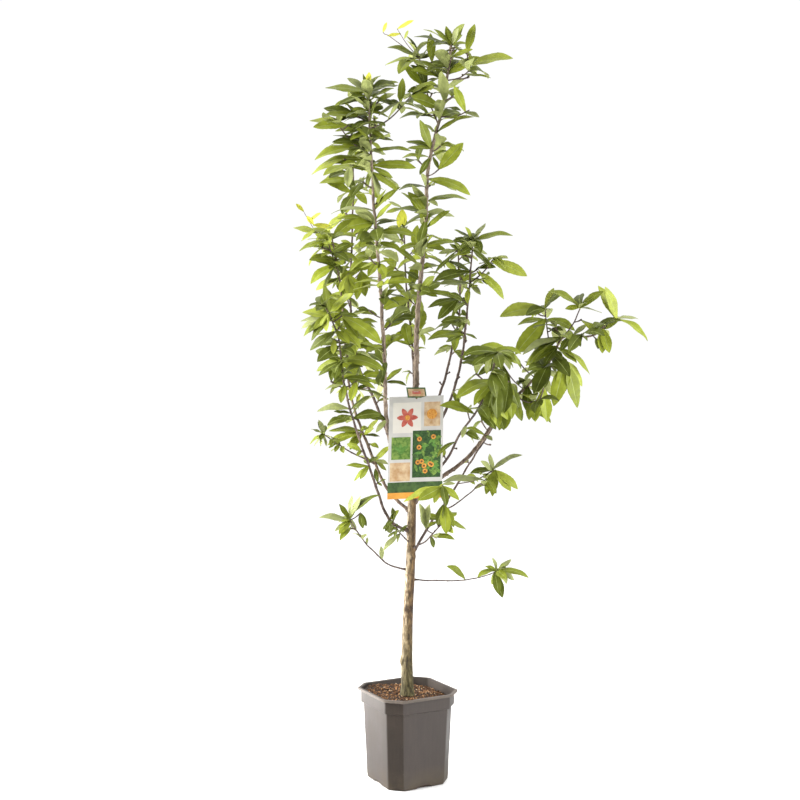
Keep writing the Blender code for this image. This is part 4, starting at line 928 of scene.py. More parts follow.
        (0.149, 0.625, 0.020, 0.45, 0.5, MID),
        (0.032, 0.660, 0.030, 0.60, 0.4, MID),
    )),
    Spray("front_low", (0.046, 0.628), -0.060, (
        (0.030, 0.690, -0.010, 0.60, 0.2, PALE),
        (0.056, 0.688, -0.020, 0.60, 0.2, PALE),
        (0.076, 0.646, 0.010, 0.60, 0.4, MID),
    )),
    Spray("front_low", (0.092, 0.690), -0.086, (
        (0.098, 0.612, -0.020, 1.00, 0.2, FRESH),
        (0.118, 0.630, -0.010, 0.95, 0.2, MID),
        (0.074, 0.634, -0.010, 0.90, 0.3, DEEP),
    )),
    Spray("front_low", (0.088, 0.738), -0.092, (
        (0.025, 0.699, -0.020, 0.95, 0.3, MID),
        (-0.012, 0.694, 0.015, 0.45, 0.5, LIGHT),
        (0.132, 0.698, -0.010, 0.80, 0.4, FRESH),
        (0.098, 0.683, -0.030, 0.95, 0.2, DEEP),
        (0.120, 0.742, 0.015, 0.60, 0.4, PALE),
        (0.066, 0.690, 0.010, 0.80, 0.3, FRESH),
    )),
    Spray("front_low", (0.052, 0.616), None, (
        (0.117, 0.599, -0.010, 0.50, 1.0, MID),
        (0.067, 0.579, 0.010, 0.95, 0.3, DEEP),
    )),
    Spray("front_left", (-0.020, 0.616), None, (
        (-0.064, 0.566, -0.010, 0.60, 0.8, PALE),
        (-0.026, 0.592, 0.000, 0.50, 0.3, MID),
    )),
    Spray("left_low", (-0.048, 0.652), None, (
        (-0.022, 0.674, -0.010, 0.90, 0.3, FRESH),
        (-0.056, 0.620, -0.010, 0.95, 0.2, DEEP),
        (-0.044, 0.616, 0.010, 1.00, 0.2, DEEP),
    )),
    Spray("left_outer", (-0.124, 0.872), None, (
        (-0.146, 0.826, -0.020, 0.90, 0.2, MID),
        (-0.198, 0.874, 0.010, 0.55, 0.5, MID),
    )),
    Spray("left_outer", (-0.128, 0.862), None, (
        (-0.074, 0.903, 0.000, 0.60, 0.2, LIGHT),
        (-0.070, 0.861, 0.000, 0.45, 0.4, DEEP),
        (-0.085, 0.881, -0.020, 0.80, 0.2, FRESH),
        (-0.201, 0.834, -0.010, 0.60, 1.0, FRESH),
        (-0.153, 0.830, 0.020, 0.50, 0.9, MID),
    )),
    Spray("left_outer", (-0.090, 0.800), None, (
        (-0.044, 0.835, -0.010, 0.70, 0.3, FRESH),
        (-0.048, 0.790, -0.020, 0.60, 0.4, PALE),
        (-0.052, 0.774, 0.010, 0.60, 0.3, MID),
    )),
    Spray("left_low", (-0.104, 0.784), None, (
        (-0.155, 0.788, -0.010, 0.55, 0.2, MID),
        (-0.136, 0.747, 0.015, 0.50, 0.2, MID),
        (-0.120, 0.752, -0.010, 0.90, 0.2, MID),
    )),
    Spray("left_inner", (-0.058, 0.902), None, (
        (-0.123, 0.913, -0.030, 0.72, 0.8, DEEP),
        (-0.080, 0.870, -0.020, 0.90, 0.2, PALE),
    )),
    Spray("left_outer", (-0.138, 0.904), None, (
        (-0.192, 0.894, -0.010, 0.60, 0.8, DEEP),
        (-0.208, 0.866, 0.020, 0.45, 1.3, PALE),
    )),
    Spray("mid_left", (-0.214, 0.866), None, (
        (-0.224, 0.902, -0.010, 0.80, 0.1, PALE),
        (-0.247, 0.839, 0.010, 0.40, 0.7, MID),
        (-0.236, 0.835, -0.020, 0.40, 0.4, PALE),
        (-0.219, 0.834, 0.010, 0.50, 0.3, MID),
        (-0.204, 0.834, -0.010, 0.50, 0.3, PALE),
    )),
)

# Thin young twigs with yellow leaves: the mass, foot and tip on the view plane, depth, and blades
YOUNG_TWIGS = (
    ("leader", (0.030, 1.812), (-0.026, 1.888), 0.020, (
        (0.015, 1.909, -0.010, 0.80, 0.2, YOUNG),
        (-0.052, 1.870, 0.006, 0.90, 0.2, YOUNG),
        (0.002, 1.884, -0.010, 0.90, 0.1, LIGHT),
    )),
    ("leader", (-0.044, 1.868), (-0.062, 1.880), 0.020, (
        (-0.052, 1.904, -0.006, 0.95, 0.1, YOUNG),
    )),
    ("left_back", (-0.214, 1.358), (-0.262, 1.428), 0.100, (
        (-0.281, 1.447, 0.000, 0.90, 0.1, YOUNG),
        (-0.236, 1.394, -0.010, 1.00, 0.2, YOUNG),
        (-0.218, 1.424, -0.010, 0.80, 0.1, YOUNG),
        (-0.188, 1.386, 0.000, 0.85, 0.2, YOUNG),
        (-0.268, 1.352, -0.010, 0.75, 0.3, LIGHT),
        (-0.286, 1.386, 0.010, 0.75, 0.5, LIGHT),
    )),
)

# Open sky between the masses: middle on the view plane, half width and half height
GAPS = (
    (0.012, 1.905, 0.032, 0.024), (-0.120, 1.800, 0.070, 0.030), (0.000, 1.632, 0.045, 0.034),
    (0.115, 1.625, 0.030, 0.024), (0.185, 1.628, 0.050, 0.030), (0.180, 1.720, 0.030, 0.022),
    (0.190, 1.742, 0.050, 0.018), (0.215, 1.787, 0.030, 0.012), (-0.225, 1.470, 0.060, 0.026),
    (-0.200, 1.432, 0.040, 0.020), (-0.005, 1.515, 0.032, 0.022), (-0.015, 1.452, 0.018, 0.014),
    (0.100, 1.385, 0.030, 0.022), (0.225, 1.345, 0.026, 0.024), (-0.175, 1.385, 0.022, 0.012),
    (-0.222, 1.262, 0.022, 0.012), (-0.258, 1.212, 0.030, 0.024), (-0.085, 1.200, 0.022, 0.048),
    (-0.025, 1.060, 0.034, 0.034), (0.070, 1.030, 0.032, 0.076), (0.060, 1.165, 0.020, 0.016),
    (0.200, 1.170, 0.046, 0.072), (0.155, 1.092, 0.040, 0.014), (0.150, 1.012, 0.036, 0.022),
    (0.115, 1.030, 0.022, 0.046), (0.470, 1.050, 0.046, 0.050), (0.560, 1.105, 0.044, 0.034),
    (0.450, 1.160, 0.018, 0.018), (0.380, 1.190, 0.018, 0.018), (0.300, 1.215, 0.034, 0.012),
    (0.400, 1.245, 0.050, 0.014), (0.270, 0.872, 0.034, 0.028), (0.235, 0.842, 0.040, 0.030),
    (0.340, 0.880, 0.060, 0.016), (0.150, 0.900, 0.036, 0.026), (0.130, 0.840, 0.034, 0.030),
    (-0.120, 0.582, 0.036, 0.028), (0.100, 0.575, 0.060, 0.034), (0.160, 0.620, 0.040, 0.040),
    (0.180, 0.472, 0.028, 0.028), (0.150, 0.725, 0.030, 0.016), (-0.258, 0.845, 0.022, 0.032),
    (-0.220, 0.804, 0.040, 0.016), (-0.235, 0.978, 0.044, 0.018), (-0.245, 1.325, 0.030, 0.010),
    (0.245, 0.740, 0.020, 0.020), (-0.075, 0.655, 0.020, 0.022), (-0.014, 0.660, 0.014, 0.022),
    (-0.245, 1.685, 0.030, 0.022), (-0.240, 1.612, 0.034, 0.018), (-0.036, 1.655, 0.018, 0.018),
    (0.140, 1.408, 0.034, 0.016), (0.172, 1.150, 0.014, 0.050), (0.525, 1.075, 0.022, 0.018),
    (0.277, 1.012, 0.012, 0.020), (0.335, 1.095, 0.020, 0.020), (0.232, 1.122, 0.040, 0.024),
    (0.120, 0.900, 0.034, 0.030), (0.170, 0.825, 0.026, 0.014), (-0.175, 0.870, 0.030, 0.016),
    (-0.160, 0.870, 0.016, 0.016), (-0.100, 0.830, 0.014, 0.018), (-0.275, 1.395, 0.026, 0.050),
    (-0.230, 1.425, 0.030, 0.026), (0.100, 1.480, 0.060, 0.012), (0.120, 1.530, 0.050, 0.014),
    (-0.030, 1.570, 0.024, 0.008), (-0.215, 1.600, 0.028, 0.026), (0.470, 1.173, 0.038, 0.022),
    (0.195, 1.692, 0.045, 0.018), (0.072, 1.914, 0.040, 0.022), (0.184, 1.844, 0.018, 0.032),
    (0.212, 0.834, 0.022, 0.020), (0.128, 0.820, 0.020, 0.030), (-0.112, 1.196, 0.016, 0.012),
    (-0.190, 1.684, 0.018, 0.018), (-0.150, 1.650, 0.010, 0.014), (-0.056, 1.686, 0.010, 0.014),
    (-0.186, 1.236, 0.014, 0.014), (0.100, 0.852, 0.016, 0.022), (-0.262, 1.184, 0.014, 0.010),
    (0.298, 1.075, 0.012, 0.016), (-0.164, 1.444, 0.010, 0.012), (0.093, 0.868, 0.012, 0.012),
    (0.090, 0.808, 0.012, 0.012), (0.155, 0.776, 0.014, 0.016), (0.216, 0.802, 0.012, 0.014),
    (0.182, 0.880, 0.010, 0.014), (0.012, 1.750, 0.012, 0.012), (0.138, 1.728, 0.012, 0.014),
    (0.103, 1.578, 0.012, 0.012), (0.190, 0.988, 0.010, 0.012), (0.158, 0.985, 0.010, 0.012),
    (0.008, 1.345, 0.014, 0.010), (-0.214, 1.044, 0.012, 0.012), (0.026, 1.846, 0.010, 0.010),
    (0.112, 0.786, 0.010, 0.012), (0.190, 0.872, 0.010, 0.014), (0.166, 0.796, 0.012, 0.012),
    (0.243, 0.788, 0.012, 0.014), (0.075, 0.836, 0.014, 0.012), (0.172, 0.905, 0.020, 0.014),
    (-0.206, 1.008, 0.018, 0.014), (0.107, 0.862, 0.018, 0.016), (0.150, 0.950, 0.016, 0.010),
    (0.008, 1.409, 0.014, 0.012), (0.110, 0.812, 0.014, 0.022), (-0.072, 1.060, 0.012, 0.012),
    (-0.090, 0.849, 0.014, 0.012), (0.185, 0.706, 0.022, 0.016), (0.084, 1.450, 0.014, 0.010),
    (0.085, 0.970, 0.030, 0.018),
)


# Node materials


def new_look(name, colour, roughness, **plain):
    """A Principled material with plain values; returns it with its nodes, links and shader."""
    material = bpy.data.materials.new(name)
    material.use_nodes = True
    nodes = material.node_tree.nodes
    links = material.node_tree.links
    shader = nodes["Principled BSDF"]
    shader.inputs["Base Color"].default_value = (*colour, 1.0)
    shader.inputs["Roughness"].default_value = roughness
    for socket, value in plain.items():
        shader.inputs[socket.replace("_", " ")].default_value = value
    return material, nodes, links, shader


def coords(nodes, links, scale=(1.0, 1.0, 1.0)):
    """Object coordinates, stretched by a scale."""
    source = nodes.new("ShaderNodeTexCoord")
    mapping = nodes.new("ShaderNodeMapping")
    mapping.inputs["Scale"].default_value = scale
    links.new(source.outputs["Object"], mapping.inputs["Vector"])
    return mapping.outputs["Vector"]


def noise_of(nodes, links, place, scale, detail=4.0, roughness=0.55, distortion=0.0):
    """A noise texture's value at a place."""
    texture = nodes.new("ShaderNodeTexNoise")
    texture.inputs["Scale"].default_value = scale
    texture.inputs["Detail"].default_value = detail
    texture.inputs["Roughness"].default_value = roughness
    texture.inputs["Distortion"].default_value = distortion
    links.new(place, texture.inputs["Vector"])
    return texture.outputs["Fac"]


def ramp_of(nodes, links, value, stops):
    """Colours by value: stops are (position, colour)."""
    ramp = nodes.new("ShaderNodeValToRGB")
    elements = ramp.color_ramp.elements
    while len(elements) < len(stops):
        elements.new(0.5)
    for element, (position, colour) in zip(elements, stops):
        element.position = position
        element.color = (*colour, 1.0)
    links.new(value, ramp.inputs["Fac"])
    return ramp.outputs["Color"]


def range_of(nodes, links, value, low, high, to_low, to_high):
    """A value mapped from one range to another."""
    node = nodes.new("ShaderNodeMapRange")
    for socket, number in (("From Min", low), ("From Max", high), ("To Min", to_low), ("To Max", to_high)):
        node.inputs[socket].default_value = number
    links.new(value, node.inputs["Value"])
    return node.outputs["Result"]


def mix_colours(nodes, links, share, one, two, kind="MIX"):
    """Two colours, each a tuple or a socket, mixed by a number or a socket."""
    node = nodes.new("ShaderNodeMix")
    node.data_type = "RGBA"
    node.blend_type = kind
    if isinstance(share, bpy.types.NodeSocket):
        links.new(share, node.inputs[0])
    else:
        node.inputs[0].default_value = share
    for index, value in ((6, one), (7, two)):
        if isinstance(value, bpy.types.NodeSocket):
            links.new(value, node.inputs[index])
        else:
            node.inputs[index].default_value = (*value, 1.0)
    return node.outputs[2]


def bump_of(nodes, links, height, strength, distance):
    """A bumped normal from a height."""
    node = nodes.new("ShaderNodeBump")
    node.inputs["Strength"].default_value = strength
    node.inputs["Distance"].default_value = distance
    links.new(height, node.inputs["Height"])
    return node.outputs["Normal"]


def shaded(colour, factor):
    """A colour made lighter or darker."""
    return tuple(min(1.0, channel * factor) for channel in colour)


def leaf_look(name, colour, roughness=0.42):
    """A leaf's skin: its own plain tint, a little uneven, with fine veins in relief."""
    material, nodes, links, shader = new_look(name, colour, roughness, Specular_IOR_Level=0.12)
    place = coords(nodes, links)
    blotch = noise_of(nodes, links, place, 55.0, 3.0)
    uneven = ramp_of(nodes, links, blotch, ((0.30, shaded(colour, 0.80)), (0.70, shaded(colour, 1.18))))
    links.new(uneven, shader.inputs["Base Color"])
    fine = noise_of(nodes, links, place, 420.0, 2.0)
    links.new(bump_of(nodes, links, fine, 0.25, 0.0004), shader.inputs["Normal"])
    links.new(range_of(nodes, links, blotch, 0.3, 0.7, roughness - 0.06, roughness + 0.10),
              shader.inputs["Roughness"])
    return material


def bark_look(name, dark, mid, light, stretch=0.35):
    """Bark: streaks along the limb, pale flakes and small dark marks, with relief."""
    material, nodes, links, shader = new_look(name, mid, 0.82)
    along = coords(nodes, links, (1.0, 1.0, stretch))
    streaks = noise_of(nodes, links, along, 210.0, 5.0, 0.62, 0.6)
    patches = noise_of(nodes, links, along, 42.0, 4.0, 0.6)
    colour = ramp_of(nodes, links, streaks, ((0.30, dark), (0.48, mid), (0.68, light)))
    tone = ramp_of(nodes, links, patches, ((0.34, (0.60, 0.56, 0.52)), (0.66, (1.18, 1.16, 1.12))))
    colour = mix_colours(nodes, links, 1.0, colour, tone, "MULTIPLY")
    links.new(colour, shader.inputs["Base Color"])
    links.new(bump_of(nodes, links, streaks, 0.5, 0.0010), shader.inputs["Normal"])
    return material


# Joined meshes


class Draft:
    """Corners, faces and finishes of one piece while it is put together."""

    def __init__(self):
        self.places = []
        self.faces = []
        self.finishes = []
        self.count = 0

    def add(self, places, faces, finish=0):
        """Add a body: finish is one number, or one for each face."""
        places = np.asarray(places, float).reshape(-1, 3)
        self.places.append(places)
        self.faces += [[corner + self.count for corner in face] for face in faces]
        self.finishes += [finish] * len(faces) if isinstance(finish, int) else list(finish)
        self.count += len(places)

    def piece(self, name, looks, sharp=50.0):
        """The joined mesh as an object that rides on the plant's body."""
        mesh = bpy.data.meshes.new(name)
        places = np.concatenate(self.places)
        mesh.from_pydata(places.tolist(), [], self.faces)
        for look in looks:
            mesh.materials.append(look)
        mesh.polygons.foreach_set("material_index", np.array(self.finishes, np.int32))
        mesh.shade_smooth()
        mesh.set_sharp_from_angle(angle=math.radians(sharp))
        mesh.update()
        thing = bpy.data.objects.new(name, mesh)
        bpy.context.scene.collection.objects.link(thing)
        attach(thing, BODY)
        return thing


# Routes


def on_tree(place):
    """A named place, moved with the tree."""
    return Vector(place) + TREE_OFFSET


def route_length(points):
    """Length of a route of straight runs."""
    return sum((after - before).length for before, after in zip(points, points[1:]))


def point_along(points, distance):
    """The place and the direction at a distance along a route."""
    for before, after in zip(points, points[1:]):
        run = (after - before).length
        if distance <= run:
            return before.lerp(after, distance / run), (after - before).normalized()
        distance -= run
    return points[-1].copy(), (points[-1] - points[-2]).normalized()


def smooth_route(places, step):
    """Points at even spacing on a Catmull-Rom curve through the places."""
    ends = [2 * places[0] - places[1], *places, 2 * places[-1] - places[-2]]
    fine = []
    for before, start, end, after in zip(ends, ends[1:], ends[2:], ends[3:]):
        for part in range(16):
            t = part / 16
            fine.append(
                0.5 * (2 * start + (end - before) * t
                       + (2 * before - 5 * start + 4 * end - after) * t ** 2
                       + (3 * start - before - 3 * end + after) * t ** 3)
            )
    fine.append(places[-1].copy())
    length = route_length(fine)
    count = max(2, round(length / step))
    return [point_along(fine, length * index / count)[0] for index in range(count + 1)]


def point_at_height(points, height):
    """The first place on a route that reaches a height."""
    for before, after in zip(points, points[1:]):
        if before.z <= height <= after.z:
            return before.lerp(after, (height - before.z) / (after.z - before.z))
    return points[-1].copy()


def perpendicular(along, angle):
    """A direction square to another one, turned round it by an angle."""
    side = along.cross(Vector((0, 1, 0)))
    if side.length < 0.1:
        side = along.cross(Vector((1, 0, 0)))
    return Matrix.Rotation(angle, 3, along) @ side.normalized()


def trunk_radius(height):
    """The trunk's radius at a height above the ground, between the taper's steps."""
    for (low, wide), (high, narrow) in zip(TRUNK_TAPER, TRUNK_TAPER[1:]):
        if height <= high:
            return wide + (narrow - wide) * (height - low) / (high - low)
    return TRUNK_TAPER[-1][1]


ROUTE_STEP = 0.030
BARK_STEP = 0.0042


def all_routes():
    """Each limb's whole route from its foot on its carrier's axis to its tip."""
    routes = {"trunk": smooth_route([on_tree(place) for place in TRUNK_PLACES], ROUTE_STEP)}
    for shoot in SHOOTS:
        carrier = routes[shoot.carrier]
        places = [on_tree(place) for place in shoot.places]
        if shoot.name == "leader":
            along = (carrier[-1] - carrier[-2]).normalized()
            start = carrier[-1] + along * GAP
            routes[shoot.name] = [start, *smooth_route([start + along * STUB_LENGTH, *places], ROUTE_STEP)]
        else:
            start = point_at_height(carrier, shoot.foot_z)
            routes[shoot.name] = smooth_route([start, *places], ROUTE_STEP)
    return routes


def side_route(stem, foot_z, tip):
    """A side stem that leaves its stem at a height and bends up to its tip."""
    foot = point_at_height(stem, foot_z)
    tip = on_tree(tip)
    bend = foot.lerp(tip, 0.5) - Vector((0, 0, 0.10 * (tip - foot).length))
    return smooth_route([foot, bend, tip], 0.05)


# Bark tubes


def tube_mesh(points, radii, sides, relief=None, closed_foot=True):
    """Corners and faces of a round limb; relief(ring, angle, place) gives a factor on the radius."""
    places, faces = [], []
    side = perpendicular((points[1] - points[0]).normalized(), 0.0)
    for ring, (place, radius) in enumerate(zip(points, radii)):
        before = points[max(ring - 1, 0)]
        after = points[min(ring + 1, len(points) - 1)]
        along = (after - before).normalized()
        side = (side - along * side.dot(along)).normalized()
        other = along.cross(side)
        for index in range(sides):
            angle = 2 * math.pi * index / sides
            out = side * math.cos(angle) + other * math.sin(angle)
            size = radius * (relief(ring, angle, place + out * radius) if relief else 1.0)
            places.append(place + out * size)
    for ring in range(len(points) - 1):
        low = ring * sides
        for index in range(sides):
            after = (index + 1) % sides
            faces.append((low + index, low + after, low + sides + after, low + sides + index))
    if closed_foot:
        faces.append(tuple(reversed(range(sides))))
    top = (len(points) - 1) * sides
    tip = len(places)
    places.append(points[-1] + (points[-1] - points[-2]).normalized() * radii[-1] * 0.6)
    for index in range(sides):
        faces.append((top + index, top + (index + 1) % sides, tip))
    return places, faces


def wandering(points, amount, scale, seed):
    """A route that sways a little from side to side, as a grown stem does."""
    swayed = []
    for index, place in enumerate(points):
        hold = min(1.0, index / 6)
        sway = noise.noise_vector(place * scale + Vector((seed, 0, 0)))
        swayed.append(place + sway * amount * hold)
    return swayed


# The trunk's knots: height, angle round the trunk from its left through its front, size up and
# down, swelling
KNOTS = (
    (0.297, math.radians(5), 0.014, 0.30),
    (0.398, math.radians(100), 0.012, 0.10),
    (0.438, math.radians(85), 0.010, -0.10),
    (0.470, math.radians(15), 0.009, 0.10),
    (0.553, math.radians(-70), 0.010, 0.16),
    (0.559, math.radians(125), 0.010, 0.34),
    (0.622, math.radians(10), 0.012, 0.16),
    (0.700, math.radians(70), 0.012, 0.10),
)
TRUNK_SIDES = 56
TRUNK_STEP = 0.0030


def trunk_relief(ring, angle, place):
    """Bark on the trunk: long shallow ridges, fine grain, knots and root lobes."""
    height = place.z
    around = Vector((math.cos(angle), math.sin(angle), 0.0))
    ridges = noise.noise(Vector((around.x * 2.6, around.y * 2.6, height * 22.0)))
    grain = noise.noise(Vector((around.x * 8.0, around.y * 8.0, height * 75.0 + 7.0)))
    pits = noise.noise(Vector((around.x * 5.0, around.y * 5.0, height * 160.0 + 19.0)))
    swell = noise.noise(Vector((2.0, 5.0, height * 13.0)))
    factor = 1.0 + 0.020 * ridges + 0.016 * grain + 0.035 * swell - 0.030 * max(0.0, pits - 0.28)
    for knot_z, knot_angle, size, amount in KNOTS:
        turn = (angle - knot_angle + math.pi) % (2 * math.pi) - math.pi
        away = ((height - knot_z) / size) ** 2 + (turn / 0.75) ** 2
        factor += amount * math.exp(-away) - 0.07 * math.exp(-((math.sqrt(away) - 1.1) / 0.22) ** 2)
    lobes = max(0.0, 1.0 - (height - GROUND_Z) / 0.035)
    factor += 0.10 * lobes * lobes * math.sin(3.0 * angle + 0.8)
    return factor


def trunk_look():
    """Trunk bark with rings and a mossy foot, and painted light: pale where its surface faces left, dark where it
    faces right.
    """
    dark, mid, light = (0.036, 0.023, 0.012), (0.190, 0.150, 0.098), (0.400, 0.345, 0.260)
    material, nodes, links, shader = new_look("trunk_bark", mid, 0.84)
    streaks = noise_of(nodes, links, coords(nodes, links, (1.0, 1.0, 0.24)), 190.0, 6.0, 0.66, 0.2)
    rings = noise_of(nodes, links, coords(nodes, links, (0.50, 0.50, 1.0)), 62.0, 5.0, 0.66, 0.4)
    patches = noise_of(nodes, links, coords(nodes, links, (1.0, 1.0, 0.5)), 62.0, 5.0, 0.66)
    colour = ramp_of(nodes, links, streaks, ((0.36, dark), (0.47, mid), (0.62, light)))
    banding = ramp_of(nodes, links, rings, ((0.54, (1.0, 1.0, 1.0)), (0.68, (0.46, 0.38, 0.30))))
    colour = mix_colours(nodes, links, 1.0, colour, banding, "MULTIPLY")
    blotches = ramp_of(nodes, links, patches, ((0.38, (0.46, 0.40, 0.33)), (0.60, (1.16, 1.15, 1.14))))
    colour = mix_colours(nodes, links, 1.0, colour, blotches, "MULTIPLY")
    # Painted light: the bark is made lighter where its surface faces left, towards the key lamp, and darker where it
    # faces right.
    source = nodes.new("ShaderNodeTexCoord")
    facing = nodes.new("ShaderNodeSeparateXYZ")
    links.new(source.outputs["Normal"], facing.inputs["Vector"])
    side = range_of(nodes, links, facing.outputs["X"], -1.0, 1.0, 0.0, 1.0)
    painted_side_light = ramp_of(nodes, links, side, ((0.10, (1.42, 1.42, 1.40)), (0.38, (0.80, 0.72, 0.58)),
                                          (0.62, (0.48, 0.36, 0.20)), (0.94, (0.32, 0.21, 0.11))))
    colour = mix_colours(nodes, links, 1.0, colour, painted_side_light, "MULTIPLY")
    height = nodes.new("ShaderNodeSeparateXYZ")
    links.new(source.outputs["Object"], height.inputs["Vector"])
    low = range_of(nodes, links, height.outputs["Z"], 0.22, 0.42, 0.92, 0.0)
    moss = ramp_of(nodes, links, streaks, ((0.36, (0.022, 0.018, 0.006)), (0.52, (0.075, 0.066, 0.020)),
                                           (0.70, (0.190, 0.165, 0.080))))
    colour = mix_colours(nodes, links, low, colour, moss)
    links.new(colour, shader.inputs["Base Color"])
    links.new(bump_of(nodes, links, streaks, 0.6, 0.0012), shader.inputs["Normal"])
    return material


def build_trunk(routes):
    """The trunk with its bark in relief, down to a level cut at the ground."""
    route = smooth_route([on_tree(place) for place in TRUNK_PLACES], TRUNK_STEP)
    radii = [trunk_radius(place.z - GROUND_Z) for place in route]
    draft = Draft()
    places, faces = tube_mesh(route, radii, TRUNK_SIDES, trunk_relief)
    draft.add(places, faces)
    trunk = draft.piece("trunk_bark", [trunk_look()], 60)
    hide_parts("trunk")
    return trunk


def taper_at(share, shoot):
    """A shoot's radius at a share of its whole length."""
    return shoot.foot_radius + (shoot.tip_radius - shoot.foot_radius) * share


# The bark of the thicker limbs; the others are dark
BARK_KINDS = {"leader": "grey", "left_inner": "grey", "left_outer": "brown", "right_long": "brown"}


def build_boughs(routes, looks):
    """Every bough and the stem that goes on from it, with a collar at the fork and bud scars."""
    for number, shoot in enumerate(SHOOTS):
        length = route_length(routes[shoot.name])
        points = smooth_route(routes[shoot.name], BARK_STEP)
        points = wandering(points, 0.0016, 34.0, number * 3.7)
        rng = random.Random(SEED * 7 + number)
        carrier_radius = 0.010 if shoot.carrier == "trunk" else 0.0045
        scar = 0.0
        scars = []
        while scar < length:
            scar += rng.uniform(0.014, 0.030)
            scars.append((scar, rng.uniform(0, 2 * math.pi)))

        def relief(ring, angle, place, scars=scars, length=length, points=points, shoot=shoot):
            walked = length * ring / (len(points) - 1)
            factor = 1.0 + 0.10 * noise.noise(place * 150.0) + 0.06 * noise.noise(place * 420.0)
            if shoot.name != "leader":
                factor += 0.75 * math.exp(-((walked - carrier_radius) / 0.007) ** 2 * 1.2) * (walked < 0.04)
            for scar_at, scar_angle in scars:
                if abs(walked - scar_at) < 0.006:
                    turn = (angle - scar_angle + math.pi) % (2 * math.pi) - math.pi
                    near = math.exp(-((walked - scar_at) / 0.0022) ** 2)
                    factor += near * (0.10 + 0.34 * math.exp(-(turn / 0.7) ** 2))
            return factor

        radii = [taper_at(index / (len(points) - 1), shoot) for index in range(len(points))]
        sides = 16 if shoot.foot_radius > 0.0035 else 12
        draft = Draft()
        draft.add(*tube_mesh(points, radii, sides, relief))
        kind = BARK_KINDS.get(shoot.name, "dark")
        look = looks[kind]
        bough = draft.piece(shoot.name + "_bark", [look], 60)
        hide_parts(shoot.name + "_bough")


# Leaves


@dataclass
class Leaf:
    """One blade: where and how it stands, its length, and how it bends."""

    root: Vector
    along: Vector
    normal: Vector
    length: float
    width: float
    sag: float
    fold: float
    curl: float
    twist: float
    wave: float
    phase: float
    tint: int


def blade_points(leaf, rows, columns, start=0.0):
    """Places on a blade by row and column, from a share of its length on, with its directions."""
    columns = np.asarray(columns, float)
    base = np.linspace(start, 1.0, rows + 1)
    spread = np.abs(columns)[None, :]
    t = base[:, None] + LEAF_CHEVRON * spread * np.sin(np.pi * base)[:, None]
    along = np.array(leaf.along)
    normal = np.array(leaf.normal)
    across = np.cross(along, normal)
    fine = np.linspace(0.0, 1.0, 25)
    bend = -0.60 * normal + np.array((0.0, 0.0, -0.40))
    ways = along[None, :] + leaf.sag * fine[:, None] ** 1.3 * bend[None, :]
    ways /= np.linalg.norm(ways, axis=1)[:, None]
    steps = (ways[1:] + ways[:-1]) * 0.5 * leaf.length / 24
    path = np.vstack([np.zeros(3), np.cumsum(steps, axis=0)]) + np.array(leaf.root)
    sides = across[None, :] - ways * (ways @ across)[:, None]
    sides /= np.linalg.norm(sides, axis=1)[:, None]
    ups = np.cross(sides, ways)
    turn = leaf.twist * fine[:, None]
    sides, ups = sides * np.cos(turn) + ups * np.sin(turn), ups * np.cos(turn) - sides * np.sin(turn)

    def at(values):
        return np.stack([np.interp(t, fine, values[:, axis]) for axis in range(3)], axis=-1)

    width = np.sin(np.pi * np.clip(t, 0.0, 1.0) ** 1.12) ** 0.82
    half = leaf.length * leaf.width / 2
    reach = half * width + PETIOLE_RADIUS * (1.0 - t) + 0.0002
    v = columns[None, :] * np.ones_like(t)
    height = reach * (leaf.fold * np.abs(v) - leaf.curl * v ** 2)
    height += leaf.wave * half * width * v ** 2 * np.sin(2 * np.pi * 1.6 * t + leaf.phase + (v > 0) * 1.3)
    return path, at(path), at(sides), at(ups), reach, v, t, height


def leaf_mesh(leaf):
    """Corners of one closed blade: the upper skin by rows, then the inner part of the lower skin."""
    path, middle, sides, ups, reach, v, t, height = blade_points(leaf, LEAF_ROWS, LEAF_COLUMNS)
    odd = (np.arange(LEAF_ROWS + 1) % 2)[:, None]
    inner = np.abs(v) * (1.0 - np.abs(v)) * 4.0
    middle_share = np.sin(np.pi * np.clip(t, 0, 1))
    height = height + LEAF_QUILT * leaf.length * (odd - 0.5) * inner * middle_share
    rib = np.abs(v) < 0.1
    height = height - 0.0002 * rib
    edge = 1.0 + LEAF_TOOTH * (2.0 * odd - 1.0) * (np.abs(v) > 0.9) * middle_share
    top = middle + sides * (v * reach * edge)[..., None] + ups * height[..., None]
    thick = LEAF_THICKNESS * np.sqrt(np.clip(1.0 - v ** 2, 0.0, 1.0)) + 0.0006 * rib * (1.0 - 0.6 * t)
    thick = thick + 0.0008 * np.clip(1.0 - t / 0.10, 0.0, 1.0) * (np.abs(v) < 0.9)
    low = top - ups * thick[..., None]
    return np.concatenate([top.reshape(-1, 3), low[:, 1:-1].reshape(-1, 3)])


def leaf_faces():
    """Faces of one closed blade, and the finish of each: 0 upper skin, 1 underside, 2 midrib."""
    width = len(LEAF_COLUMNS)
    inner = width - 2
    first_low = (LEAF_ROWS + 1) * width
    rib = (width - 1) // 2

    def top(row, column):
        return row * width + column

    def low(row, column):
        if column in (0, width - 1):
            return top(row, column)
        return first_low + row * inner + column - 1

    faces, finishes = [], []
    for row in range(LEAF_ROWS):
        for column in range(width - 1):
            faces.append((top(row, column), top(row, column + 1), top(row + 1, column + 1), top(row + 1, column)))
            finishes.append(2 if column == rib and 0 < row < LEAF_ROWS - 1 else 0)
            faces.append((low(row, column), low(row + 1, column), low(row + 1, column + 1), low(row, column + 1)))
            finishes.append(2 if column == rib else 1)
    for row in (0, LEAF_ROWS):
        loop = [top(row, column) for column in range(width)]
        loop += [low(row, column) for column in range(width - 2, 0, -1)]
        faces.append(tuple(loop) if row else tuple(reversed(loop)))
        finishes.append(1)
    return faces, finishes


